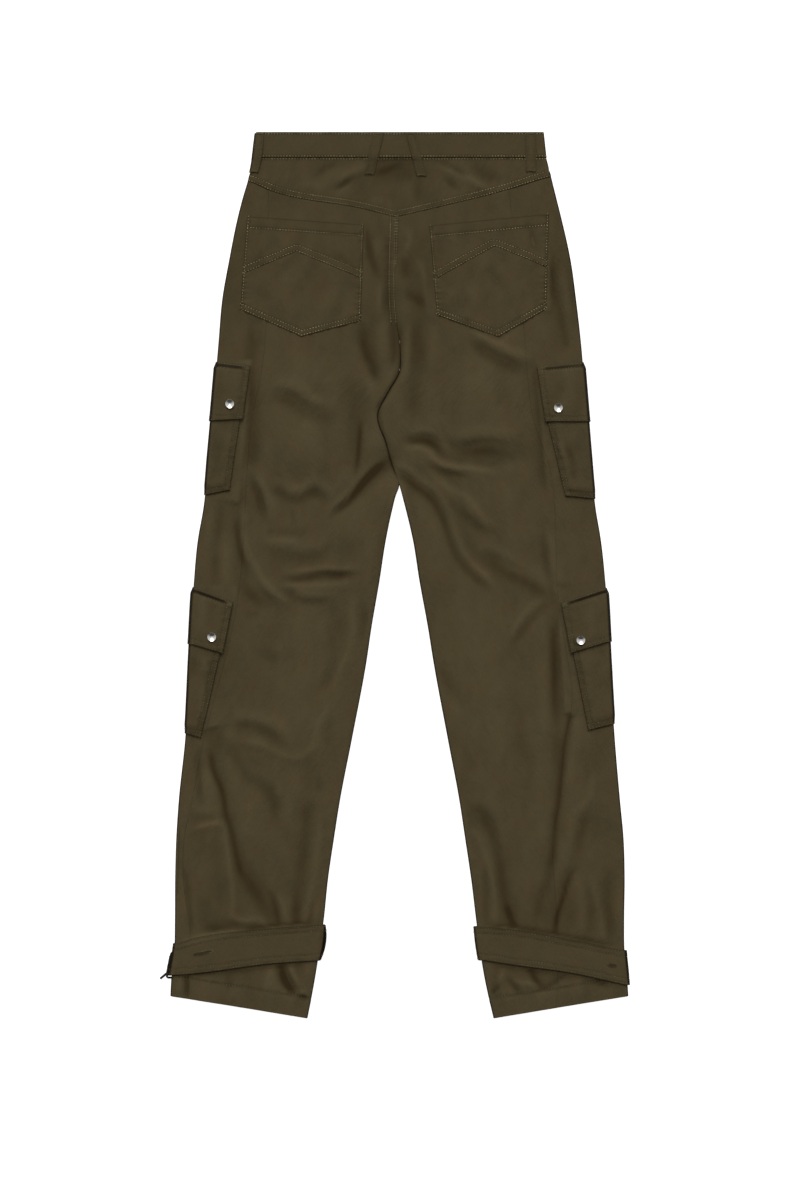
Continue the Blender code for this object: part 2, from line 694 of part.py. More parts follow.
def waistband_front(side, slot):
    columns = ([("roll", angle) for angle in (-SEAM_ANGLE, -45.0, -90.0)]
               + [("flat", part) for part in (0.25, 0.5, 0.75, 1.0)])

    def spot(down, column, off):
        kind, value = column
        if kind == "roll":
            return on_outer_roll(side, value, down, off)
        start = OUTER[side](down) - side * ROLL
        end = FRONT_CENTRE + side * 0.5 * SEAM_GAP
        return on_bottom(side, float(start + (end - start) * value), down, off)
    outer, inner = two_skins((0.0, 0.5 * WAISTBAND_DEEP, WAISTBAND_DEEP), columns, spot,
                             0.0, -BAND_CLOTH)
    return wall(f"waistband_front_{COLUMN[side]}", outer, inner, slot)


# ---- back pockets ------------------------------------------------------------------------------
def between(a, b, part):
    return (a[0] + (b[0] - a[0]) * part, a[1] + (b[1] - a[1]) * part)


def pocket_line(pocket, level, part):
    """A line across a back pocket: top, chevron or bottom, by the part of its width."""
    low = (between(pocket.low_left, pocket.tip, part / 0.5) if part < 0.5
           else between(pocket.tip, pocket.low_right, part / 0.5 - 1.0))
    high = between(pocket.top_left, pocket.top_right, part)
    if level == "top":
        return high
    if level == "bottom":
        return low
    end = pocket.ends[0] if part < 0.5 else pocket.ends[1]
    down = pocket.peak + (end - pocket.peak) * abs(part - 0.5) / 0.5
    return (high[0] + (low[0] - high[0]) * (down - high[1]) / (low[1] - high[1]), down)


def back_pocket(pocket, level, slot):
    """One of the two pieces of a pocket, above or below its chevron seam."""
    first, last = (("top", "chevron") if level == "upper" else ("chevron", "bottom"))
    shift = 0.5 * SEAM_GAP

    def spot(part_down, part, off):
        a, b = pocket_line(pocket, first, part), pocket_line(pocket, last, part)
        a = (a[0], a[1] + (shift if first == "chevron" else 0.0))
        b = (b[0], b[1] - (shift if last == "chevron" else 0.0))
        across, down = between(a, b, part_down)
        side = -1 if pocket.name == "left" else 1
        return on_top(side, across, down, off)
    rows = (0.0, 0.5, 1.0) if level == "upper" else (0.0, 0.33, 0.67, 1.0)
    columns = tuple(i / 8 for i in range(9))
    outer, inner = two_skins(rows, columns, spot, LAY_GAP + CLOTH, LAY_GAP)
    return wall(f"back_pocket_{pocket.name}_{level}", outer, inner, slot)


# ---- cargo pockets -----------------------------------------------------------------------------
def round_spot(pocket, along, down, off):
    """A spot along the way round the outer edge: positive on the back, negative beneath."""
    side = pocket.side
    if -90.0 <= along <= 90.0:
        return on_outer_roll(side, along, down, off)
    edge = float(OUTER[side](down))
    if along > 90.0:
        return on_top(side, edge - side * (along - 90.0 + ROLL), down, off)
    return on_bottom(side, edge - side * (-along - 90.0 + ROLL), down, off)


def inset_of(along):
    """How far in from the outer edge a spot lies; negative beneath."""
    if along > 90.0:
        return along - 90.0 + ROLL
    if along < -90.0:
        return along + 90.0 - ROLL
    return 0.0


def round_columns(under):
    """Columns from the back edge of a pocket round the outer edge to its front edge."""
    back = [("back", part) for part in (1.0, 0.66, 0.33)]
    turn = [("round", angle) for angle in ARC_STEPS + (-45.0, -90.0)]
    beneath = [("round", -90.0 - (under - ROLL) * (i + 1) / 3) for i in range(3)]
    return back + turn + beneath


def puff(pocket, along, down):
    """How far a pocket stands off its panel: nothing at its sewn edges and on the ground."""
    inset = inset_of(along)
    reach = reach_at(pocket, down)
    bottom = pocket.bottom + pocket.bottom_lean * inset
    from_edge = smooth_step(0.0, 12.0, reach - inset) * smooth_step(0.0, 14.0, bottom - down)
    on_back = smooth_step(-90.0, 20.0, along)
    return POCKET_PUFF * from_edge * on_back


def reach_at(pocket, down):
    if down < pocket.flap_end:
        part = (down - pocket.flap_top) / (pocket.flap_end - pocket.flap_top)
        return pocket.reach_flap + (pocket.reach_end - pocket.reach_flap) * part
    part = (down - pocket.flap_end) / (pocket.bottom - pocket.flap_end)
    return pocket.reach_end + (pocket.reach_bottom - pocket.reach_end) * part


def cargo_pocket(pocket, slot):
    def spot(part, column, off):
        kind, value = column
        inset = 0.0 if kind == "back" else inset_of(value)
        for _ in range(3):
            first = pocket.flap_top + POCKET_MOUTH + pocket.flap_lean * inset
            last = pocket.bottom + pocket.bottom_lean * inset
            down = first + (last - first) * part
            if kind == "back":
                reach = reach_at(pocket, down) - 1.0
                inset = ROLL + (reach - ROLL) * value
        along = 90.0 + inset - ROLL if kind == "back" else value
        return round_spot(pocket, along, down, off + puff(pocket, along, down))
    outer, inner = two_skins((0.0, 0.2, 0.4, 0.58, 0.76, 0.9, 1.0), round_columns(pocket.under),
                             spot, BAG_GAP + CLOTH, BAG_GAP)
    return wall(f"cargo_pocket_{pocket.name}", outer, inner, slot)


def cargo_flap(pocket, slot):
    def spot(part, column, off):
        kind, value = column
        inset = 0.0 if kind == "back" else inset_of(value)
        for _ in range(3):
            first = pocket.flap_top + pocket.flap_lean * inset
            last = pocket.flap_end + pocket.end_lean * inset
            down = first + (last - first) * part
            if kind == "back":
                inset = ROLL + (reach_at(pocket, down) + 2.0 - ROLL) * value
        along = 90.0 + inset - ROLL if kind == "back" else value
        return round_spot(pocket, along, down, off + flap_off(pocket, along, down, part))
    outer, inner = two_skins((0.0, 0.18, 0.46, 0.75, 1.0), round_columns(pocket.under + 2.0),
                             spot, CLOTH, 0.0)
    return wall(f"cargo_flap_{pocket.name}", outer, inner, slot)


def flap_off(pocket, along, down, part):
    """A flap lies on the panel along its top and on its pocket below."""
    on_pocket = 2.0 * BAG_GAP + CLOTH + 1.05 * puff(pocket, along, down)
    return BAG_GAP + (on_pocket - BAG_GAP) * float(smooth_step(0.0, 0.18, part))


# ---- straps ------------------------------------------------------------------------------------
def strap_down(side, across, part):
    top, bottom = STRAP_TOP[side](across), STRAP_BOTTOM[side](across)
    return float(top + (bottom - top) * part)


def slack(kind, side, angle):
    """Extra room of a strap where it turns round an edge, none of it on the ground side."""
    turn = math.radians(angle)
    return STRAP_SLACK[kind, side] * math.cos(turn) * (1.0 + min(math.sin(turn), 0.0))


def strap_spot(side):
    def spot(part, column, off):
        kind, value = column
        if kind == "inner":
            edge = float(INNER[side](1050.0))
            down = strap_down(side, edge, part)
            return on_inner_roll(side, value, down, off + slack(kind, side, value), front=value < 0)
        if kind == "outer":
            down = strap_down(side, float(OUTER[side](1075.0)), part)
            return on_outer_roll(side, value, down, off + slack(kind, side, value))
        down = 1060.0
        for _ in range(3):
            if kind == "across":
                start = inner_edge(side, down) + side * ROLL
                end = OUTER[side](down) - side * ROLL
                across = float(start + (end - start) * value)
            else:
                across = float(OUTER[side](down) - side * value)
            down = strap_down(side, across, part)
        if kind == "across":
            return on_top(side, across, down, off)
        return on_bottom(side, across, down, off)
    return spot


def strap_back(side, slot):
    end = STRAP_END_IN[side]
    columns = ([("inner", angle) for angle in (SEAM_ANGLE, 45.0, 90.0)]
               + [("across", i / 9) for i in range(1, 9)]
               + [("outer", angle) for angle in (90.0, 45.0, 0.0, -45.0, -90.0)]
               + [("beneath", end)])
    outer, inner = two_skins((0.0, 0.5, 1.0), columns, strap_spot(side),
                             LAY_GAP + STRAP_CLOTH, LAY_GAP)
    return wall(f"ankle_strap_back_{COLUMN[side]}", outer, inner, slot)


def strap_front(side, slot):
    start = STRAP_START_IN[side]
    wide = abs(float(inner_edge(side, 1055.0) - OUTER[side](1055.0))) - ROLL
    columns = ([("inner", angle) for angle in (-SEAM_ANGLE, -45.0, -90.0)]
               + [("beneath", wide + (start - wide) * i / 4) for i in range(1, 5)])
    outer, inner = two_skins((0.0, 0.5, 1.0), columns, strap_spot(side),
                             LAY_GAP + STRAP_CLOTH, LAY_GAP)
    return wall(f"ankle_strap_front_{COLUMN[side]}", outer, inner, slot)


def buckle(side, slot):
    """A flat frame on the ground, between the two ends of a strap."""
    edge = float(OUTER[side](1078.0))
    far = edge + side * 11.5 if side < 0 else edge - side * 25.5
    near = edge - side * 20.0 if side < 0 else edge - side * 50.5
    tip = 6.0
    middle = 0.5 * (far + near)
    first, last = strap_down(side, middle, 0.0) - 6.5, strap_down(side, middle, 1.0) + 6.5
    bar = 3.0
    mesh = bmesh.new()
    rims = []
    for inset in (0.0, bar):
        a, b = far - side * inset, near + side * inset
        corner = (a + side * (tip if inset == 0 else -0.6), last - inset - (0 if inset == 0 else 0.6))
        rim = [(a, first + inset + 2), (a, last - inset - 4), corner, (a - side * 2, last - inset),
               (b + side * 2, last - inset), (b, last - inset - 2), (b, first + inset + 2),
               (b + side * 2, first + inset), (a - side * 2, first + inset)]
        rims.append(rim)
    layers = [[[mesh.verts.new(world(x, down, up)) for x, down in rim] for rim in rims]
              for up in (0.0, BUCKLE_THICK)]
    count = len(rims[0])
    for i in range(count):
        j = (i + 1) % count
        low, high = layers
        mesh.faces.new((low[0][i], low[0][j], low[1][j], low[1][i]))
        mesh.faces.new((high[0][j], high[0][i], high[1][i], high[1][j]))
        mesh.faces.new((low[0][j], low[0][i], high[0][i], high[0][j]))
        mesh.faces.new((low[1][i], low[1][j], high[1][j], high[1][i]))
    return finish(f"ankle_buckle_{COLUMN[side]}", mesh, slot)


# ---- loops, snaps and button -------------------------------------------------------------------
def belt_loop(loop, place, slot, proud):
    """A narrow strip sewn down at both ends, bowed out between them."""
    def spot(part, column, off):
        across, down = between(loop.start, loop.end, part)
        across += column * 0.5 * LOOP_WIDE
        over_band = proud * (1.0 - smooth_step(WAISTBAND_DEEP - 6, WAISTBAND_DEEP + 14, down))
        bow = LOOP_BOW * math.sin(math.pi * part) if proud else 0.0
        side = side_of(across, down)
        return place(side, across, down, off + float(over_band) + bow)
    outer, inner = two_skins(tuple(i / 6 for i in range(7)), (-1.0, 0.0, 1.0), spot,
                             LAY_GAP + LOOP_CLOTH, LAY_GAP)
    return wall(f"belt_loop_{loop.name}", outer, inner, slot)


def side_loop_left(slot):
    """The loop that lies along the left fold of the waist and turns down with it."""
    columns = (("roll", 20.0), ("roll", 55.0), ("roll", 90.0), ("flat", 10.5))

    def spot(part, column, off):
        kind, value = column
        down = 1.5 + 51.0 * part
        over_band = 0.5 * (1.0 - smooth_step(WAISTBAND_DEEP - 6, WAISTBAND_DEEP + 14, down))
        off += float(over_band) + LOOP_BOW * math.sin(math.pi * part)
        if kind == "roll":
            return on_outer_roll(-1, value, down, off)
        return on_top(-1, float(OUTER[-1](down)) + value, down, off)
    outer, inner = two_skins(tuple(i / 6 for i in range(7)), columns, spot,
                             LAY_GAP + LOOP_CLOTH, LAY_GAP)
    return wall("belt_loop_side_left", outer, inner, slot)


def domed_disc(name, centre, radius, tall, up, slot):
    """A round cap with a rolled rim, standing up or hanging down from its seat."""
    mesh = bmesh.new()
    profile = ((0.0, 0.0), (radius * 0.94, 0.0), (radius, 0.4 * tall), (radius * 0.7, 0.85 * tall),
               (0.0, tall))
    sides = 14
    rings = []
    x, y, z = world(*centre)
    for reach, rise in profile:
        if reach == 0.0:
            rings.append([mesh.verts.new((x, y, z + up * rise * MM))])
            continue
        rings.append([mesh.verts.new((x + reach * MM * math.cos(2 * math.pi * i / sides),
                                      y + reach * MM * math.sin(2 * math.pi * i / sides),
                                      z + up * rise * MM)) for i in range(sides)])
    for low, high in zip(rings, rings[1:]):
        for i in range(sides):
            j = (i + 1) % sides
            ring = [low[i % len(low)], low[j % len(low)], high[j % len(high)], high[i % len(high)]]
            mesh.faces.new(list(dict.fromkeys(ring)))
    return finish(name, mesh, slot)


def snaps(pocket, slot):
    """The snap of a flap that shows on the back, and its twin beneath."""
    side = pocket.side
    edge = float(OUTER[side](pocket.snap_down))
    across = edge - side * pocket.snap_in
    along = 90.0 + pocket.snap_in - ROLL
    seat = (top_height(side, across, pocket.snap_down) + CLOTH
            + flap_off(pocket, along, pocket.snap_down, 0.8) + SNAP_CLEAR)
    domed_disc(f"snap_{pocket.name}_back", (across, pocket.snap_down, seat), SNAP_RADIUS,
               SNAP_TALL, 1.0, slot)
    down = hidden_snap_down(pocket)
    across = float(OUTER[side](down)) - side * (pocket.under - pocket.snap_in)
    domed_disc(f"snap_{pocket.name}_front", (across, down, HIDDEN_SNAP_TALL), SNAP_RADIUS,
               HIDDEN_SNAP_TALL, -1.0, slot)


def build():
    for old in list(bpy.data.objects):
        bpy.data.objects.remove(old, do_unlink=True)
    twill = material("olive_twill", (0.061, 0.047, 0.024), 0.85)
    steel = material("polished_steel", (0.75, 0.74, 0.72), 0.25, 1.0)
    gunmetal = material("gunmetal", (0.04, 0.04, 0.04), 0.4, 1.0)

    waistband_back(twill)
    yoke(twill)
    for side in (-1, 1):
        waistband_front(side, twill)
        back_panel(side, twill)
        side_panel(side, twill)
        front_panel(side, twill)
        strap_back(side, twill)
        strap_front(side, twill)
        buckle(side, gunmetal)
    for pocket in BACK_POCKETS:
        back_pocket(pocket, "upper", twill)
        back_pocket(pocket, "lower", twill)
    for pocket in CARGO_POCKETS:
        cargo_pocket(pocket, twill)
        cargo_flap(pocket, twill)
        snaps(pocket, steel)
    for loop in BACK_LOOPS:
        belt_loop(loop, on_top, twill, 0.5)
    for loop in FRONT_LOOPS:
        belt_loop(loop, on_bottom, twill, 0.0)
    side_loop_left(twill)
    domed_disc("waist_button", (12.0, 0.5 * WAISTBAND_DEEP, BUTTON_TALL), BUTTON_RADIUS,
               BUTTON_TALL, -1.0, steel)


build()
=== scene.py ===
"""Dresses the solids of a pair of cargo trousers that lie flat on their front.

Every cut piece becomes a thin closed wall of twill on the form of its solid.  Its seams are
pressed in, its creases are laid one by one, and its stitches, snaps and buckles are pieces of their
own.  Lengths are in millimetres until a mesh is written: "down" runs from the top of the
waistband to the hems, "across" from the centre line towards +X, and "way" is measured along the
cloth from a folded edge, positive on the back and negative on the ground side.
"""
import math
from collections import namedtuple

import bmesh
import bpy
import numpy as np
from bpy.props import FloatProperty, FloatVectorProperty, PointerProperty
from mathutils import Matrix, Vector


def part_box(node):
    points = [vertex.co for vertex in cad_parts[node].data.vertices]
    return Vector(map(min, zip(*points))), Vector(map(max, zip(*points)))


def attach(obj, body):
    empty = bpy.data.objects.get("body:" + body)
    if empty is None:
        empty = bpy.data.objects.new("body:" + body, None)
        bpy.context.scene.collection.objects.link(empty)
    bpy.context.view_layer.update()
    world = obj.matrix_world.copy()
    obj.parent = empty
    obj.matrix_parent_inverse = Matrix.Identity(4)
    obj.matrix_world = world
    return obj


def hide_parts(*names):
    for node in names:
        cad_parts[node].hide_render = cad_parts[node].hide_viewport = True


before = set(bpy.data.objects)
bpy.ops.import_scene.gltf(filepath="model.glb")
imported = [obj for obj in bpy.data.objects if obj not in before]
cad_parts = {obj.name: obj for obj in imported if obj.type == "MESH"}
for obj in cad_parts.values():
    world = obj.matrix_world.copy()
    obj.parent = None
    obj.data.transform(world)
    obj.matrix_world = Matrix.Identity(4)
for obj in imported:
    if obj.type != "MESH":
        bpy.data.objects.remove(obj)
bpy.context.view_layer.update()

bl_info = {
    "name": "Cargo trousers",
    "version": (1, 0, 0),
    "blender": (4, 5, 0),
    "location": "View3D > Sidebar > Trousers",
    "description": "Cloth, stitching, fittings and stage of a pair of cargo trousers laid flat",
    "category": "Add Mesh",
}

MM = 0.001
BODY = "root"

# ---- sizes of the solids, in millimetres -------------------------------------------------------
CENTRE_ACROSS = -6.44     # across value of the middle of the footprint
CENTRE_DOWN = 576.25      # down value of the middle of the footprint
CLOTH = 1.5               # wall of a solid
SEAM_GAP = 0.3
BAG_GAP = 0.8             # clear space under a cargo pocket
BODY_RISE = 7.0           # from the underside to the top of the two layers
LEAST_RISE = 3.9
LIFT_SHOWS = 0.5          # the share of a lift of the underside that reaches the back
ROLL = 3.5                # how far in from an edge the cloth starts to turn under
QUARTER = 5.5             # length of the cloth in a quarter turn of that roll
WAISTBAND_DEEP = 33.0
CROTCH_DOWN = 461.0
WAIST_LIFT = 1.8
STRAP_LIFT = 2.2
POCKET_LIFT = BAG_GAP + CLOTH
FRONT_CENTRE = -0.5
HEM_SKEW = 29.0           # how much lower the hem is at the inner edge than at the outer edge
HEM_LEVEL = 850.0
HEM_DOWN = 1123.5         # the hem at the outer edge
YOKE_LEVEL = 300.0
SEAM_ANGLE = 3.0

Edges = namedtuple("Edges", "down left right")

OUTER_EDGE = (
    Edges(0, -187.2, 186.7),
    Edges(36, -191.1, 191.1),
    Edges(62, -197.6, 197.6),
    Edges(88, -205.4, 204.1),
    Edges(114, -211.9, 210.6),
    Edges(166, -222.3, 222.0),
    Edges(218, -231.4, 229.2),
    Edges(270, -235.8, 235.0),
    Edges(335, -241.2, 240.5),
    Edges(413, -248.3, 247.0),
    Edges(491, -256.1, 254.8),
    Edges(530, -263.0, 261.3),
    Edges(582, -267.8, 266.8),
    Edges(686, -273.7, 273.0),
    Edges(790, -279.5, 279.5),
    Edges(868, -287.8, 286.2),
    Edges(920, -291.2, 291.0),
    Edges(972, -292.6, 292.4),
    Edges(1024, -292.8, 291.6),
    Edges(1063, -293.6, 292.0),
    Edges(1102, -297.4, 295.4),
    Edges(1153, -299.5, 299.0),
)
INNER_EDGE = (
    Edges(0, -5.6, -5.6),
    Edges(110, -5.6, -5.6),
    Edges(242, -5.2, -5.2),
    Edges(284, 0.4, 0.4),
    Edges(313, -1.6, -1.6),
    Edges(341, -17.0, -17.0),
    Edges(364, -28.5, -28.5),
    Edges(405, -18.0, -18.0),
    Edges(434, -10.0, -10.0),
    Edges(461, -0.9, -0.5),
    Edges(472, -5.0, 2.4),
    Edges(491, -9.8, 7.3),
    Edges(530, -18.0, 16.4),
    Edges(582, -26.1, 24.7),
    Edges(647, -37.2, 36.5),
    Edges(686, -42.9, 42.7),
    Edges(790, -62.4, 62.0),
    Edges(868, -77.6, 76.7),
    Edges(920, -85.8, 84.6),
    Edges(972, -93.4, 92.3),
    Edges(1024, -98.8, 98.6),
    Edges(1063, -104.4, 103.6),
    Edges(1102, -110.5, 110.0),
    Edges(1153, -120.3, 121.6),
)
BACK_SIDE_SEAM = (
    Edges(58, -171.0, 139.6),
    Edges(257, -174.2, 161.0),
    Edges(322, -181.5, 166.0),
    Edges(365, -191.1, 171.5),
    Edges(446, -199.0, 196.5),
    Edges(530, -203.5, 202.5),
    Edges(607, -210.6, 205.4),
    Edges(673, -224.0, 215.5),
    Edges(738, -241.5, 224.0),
    Edges(797, -256.5, 213.5),
    Edges(868, -270.0, 208.0),
    Edges(925, -281.0, 198.5),
    Edges(975, -281.5, 200.5),
    Edges(1040, -272.5, 205.4),
    Edges(1153, -278.8, 203.0),
)
FRONT_SEAM_INSET = (
    Edges(0, 128.0, 104.0),
    Edges(620, 128.0, 104.0),
    Edges(1153, 92.0, 80.0),
)

Seam = namedtuple("Seam", "across down")

YOKE_SEAM_LEFT = (
    Seam(-214.0, 61.0),
    Seam(-193.0, 65.5),
    Seam(-171.6, 74.9),
    Seam(-49.4, 99.6),
    Seam(-5.6, 110.5),
)
YOKE_SEAM_RIGHT = (
    Seam(-5.6, 110.5),
    Seam(33.8, 101.5),
    Seam(139.1, 75.4),
    Seam(193.4, 58.9),
    Seam(214.0, 54.0),
)

BackPocket = namedtuple("BackPocket", "name top_left top_right low_right tip low_left peak ends")
BACK_POCKETS = (
    BackPocket("left", (-198.6, 109.8), (-47.3, 120.6), (-51.4, 245.7), (-128.2, 265.9),
               (-207.7, 230.9), 155.2, (184.3, 190.3)),
    BackPocket("right", (38.2, 121.8), (193.4, 106.6), (190.2, 230.1), (127.8, 266.5),
               (48.1, 237.9), 148.2, (192.4, 176.4)),
)

CargoPocket = namedtuple("CargoPocket", "name side flap_top flap_lean flap_end end_lean bottom "
                         "bottom_lean reach_flap reach_end reach_bottom under snap_down snap_in")
CARGO_POCKETS = (
    CargoPocket("upper_left", -1, 298.5, 0.12, 376.0, -0.06, 472.0, -0.20, 43, 38, 32, 106,
                354.0, 22.0),
    CargoPocket("upper_right", 1, 299.0, 0.10, 377.0, 0.0, 477.0, -0.10, 59, 53, 38, 90,
                359.0, 37.0),
    CargoPocket("lower_left", -1, 591.5, 0.36, 665.5, 0.29, 782.0, 0.27, 54, 43, 22, 92,
                656.5, 28.0),
    CargoPocket("lower_right", 1, 592.5, 0.32, 662.5, 0.30, 769.5, 0.25, 61, 51, 36, 84,
                660.5, 37.0),
)
POCKET_MOUTH = 16.0
POCKET_PUFF = 3.0
LIFT_PLATEAU = 26.0
LIFT_MARGIN = 20.0
LIFT_SLOPE = 62.0
HIDDEN_SNAP_TALL = 1.5
EDGE_WAY = QUARTER * SEAM_ANGLE / 90.0  # where a wall ends beside a folded edge
ROLL_WAYS = np.array([0.8, 0.6, 0.4, 0.2, 0.0, -0.2, -0.4, -0.6, -0.8]) * QUARTER
HEM_ROW, HEM_CALM = 26.0, 30.0  # the row of the hem, and where its close lines end
NEAR_ROW = 1.6            # inset of the first row of stitches beside a seam
FAR_ROW, FELL_ROW = 6.5, 7.0  # inset of the second one on a pocket, and on a panel

Loop = namedtuple("Loop", "name start end")
BACK_LOOPS = (
    Loop("centre_left", (-27.3, 1.5), (-39.7, 55.0)),
    Loop("centre_right", (14.0, 1.5), (28.0, 57.0)),
    Loop("side_right", (170.0, 1.5), (170.3, 51.5)),
)
FRONT_LOOPS = (
    Loop("front_left", (-95.0, 1.5), (-97.0, 54.0)),
    Loop("front_right", (95.0, 1.5), (97.0, 54.0)),
)
LOOP_WIDE = 12.4
LOOP_BOW = 0.9

StrapEdge = namedtuple("StrapEdge", "across top bottom")
STRAPS = {
    -1: (StrapEdge(-306, 1060.0, 1097.0), StrapEdge(-270, 1048.7, 1094.5),
         StrapEdge(-169, 1035.5, 1081.5), StrapEdge(-96, 1030.0, 1076.5)),
    1: (StrapEdge(94, 1032.0, 1074.5), StrapEdge(152, 1037.4, 1083.6),
        StrapEdge(222, 1049.9, 1093.3), StrapEdge(306, 1067.5, 1112.0)),
}
# Slack of a strap at its top edge, its middle and its bottom edge, where it goes round the leg.
STRAP_SLACK = {
    ("outer", -1): (0.0, 2.6, 6.2), ("outer", 1): (1.4, 1.6, 1.4),
    ("inner", -1): (1.0, 5.4, 1.4), ("inner", 1): (2.6, 3.4, 2.8),
}
STRAP_ROWS = (2.0, 8.0)   # insets of the rows of stitches of a strap
STRAP_END_IN = {-1: 6.0, 1: 22.0}
STRAP_START_IN = {-1: 24.0, 1: 54.0}

# ---- folds -------------------------------------------------------------------------------------
# A fold runs through any number of places (across, down).  In FOLDS a positive height is a ridge
# and a negative one a trough; in SLOPES the cloth steps down across the line, away from the
# waistband where the height is positive.  TONES are the few parts where the cloth is painted
# darker,
# or paler where the height is negative: painted shade and painted light, partly also the cloth's
# uneven fading.
Fold = namedtuple("Fold", "places height width")

SLOPES = (
    Fold(((-172, 336), (-140, 342), (-115, 360), (-84, 364)), 2.2, 9),
    Fold(((-14, 424), (-30, 432), (-50, 452), (-70, 478), (-95, 500)), 2.2, 4.5),
    Fold(((-172, 463), (-154, 465), (-139, 475), (-125, 471), (-110, 463), (-83, 484)), 1.5, 7),
    Fold(((90, 262), (110, 278), (130, 291), (150, 299), (172, 305)), 2.1, 8),
    Fold(((2, 401), (20, 396), (38, 396), (50, 405), (60, 416), (72, 420)), 1.4, 5),
    Fold(((-2, 408), (20, 407), (38, 412), (50, 424), (62, 431), (110, 437), (135, 440)),
         -0.9, 5),
    Fold(((60, 408), (85, 410), (110, 405), (140, 412), (165, 405)), 2.4, 11),
    Fold(((32, 424), (50, 436), (70, 442), (95, 445)), 1.3, 4.5),
    Fold(((40, 445), (62, 458), (82, 478)), -1.1, 6),
    Fold(((-6, 432), (10, 446), (25, 458), (45, 474), (60, 500), (68, 525), (77, 548),
          (90, 565), (102, 578), (125, 597)), 2.1, 5.5),
    Fold(((75, 480), (90, 498), (105, 512), (122, 519)), 1.5, 6),
    Fold(((100, 545), (125, 553), (140, 566), (165, 578), (180, 587), (202, 605)), 1.9, 8),
    Fold(((200, 608), (185, 613), (170, 626), (160, 640), (150, 655), (140, 670)), 1.5, 5),
    Fold(((190, 515), (193, 545), (196, 570), (207, 612)), 1.6, 5),
    Fold(((-192, 440), (-186, 457), (-179, 476), (-174, 497), (-174, 511)), 2.0, 5),
    Fold(((-205, 583), (-180, 602), (-156, 612)), 2.0, 9),
    Fold(((-180, 527), (-150, 528), (-122, 528)), -1.2, 6),
    Fold(((-174, 538), (-145, 548), (-120, 551), (-100, 542), (-85, 530)), 1.5, 9),
    Fold(((-154, 578), (-129, 576), (-100, 572), (-79, 573), (-48, 571)), 1.6, 4),
    Fold(((-163, 586), (-110, 586), (-58, 583)), -1.2, 5),
    Fold(((-160, 591), (-142, 594), (-133, 603), (-121, 607), (-85, 606)), 1.4, 5),
    Fold(((-174, 670), (-155, 686)), 1.1, 8),
    Fold(((-228, 768), (-200, 768), (-180, 772), (-165, 779), (-153, 790), (-140, 800)), 1.9, 8),
    Fold(((-233, 772), (-226, 790), (-215, 806), (-198, 833), (-175, 849), (-164, 862),
          (-158, 876), (-156, 892), (-152, 914)), 2.2, 8),
    Fold(((-274, 888), (-250, 889), (-230, 889)), 1.3, 6),
    Fold(((-134, 1122), (-122, 1123), (-113, 1123)), 1.6, 3),
    Fold(((88, 876), (106, 886), (119, 903), (126, 935)), 2.0, 10),
)
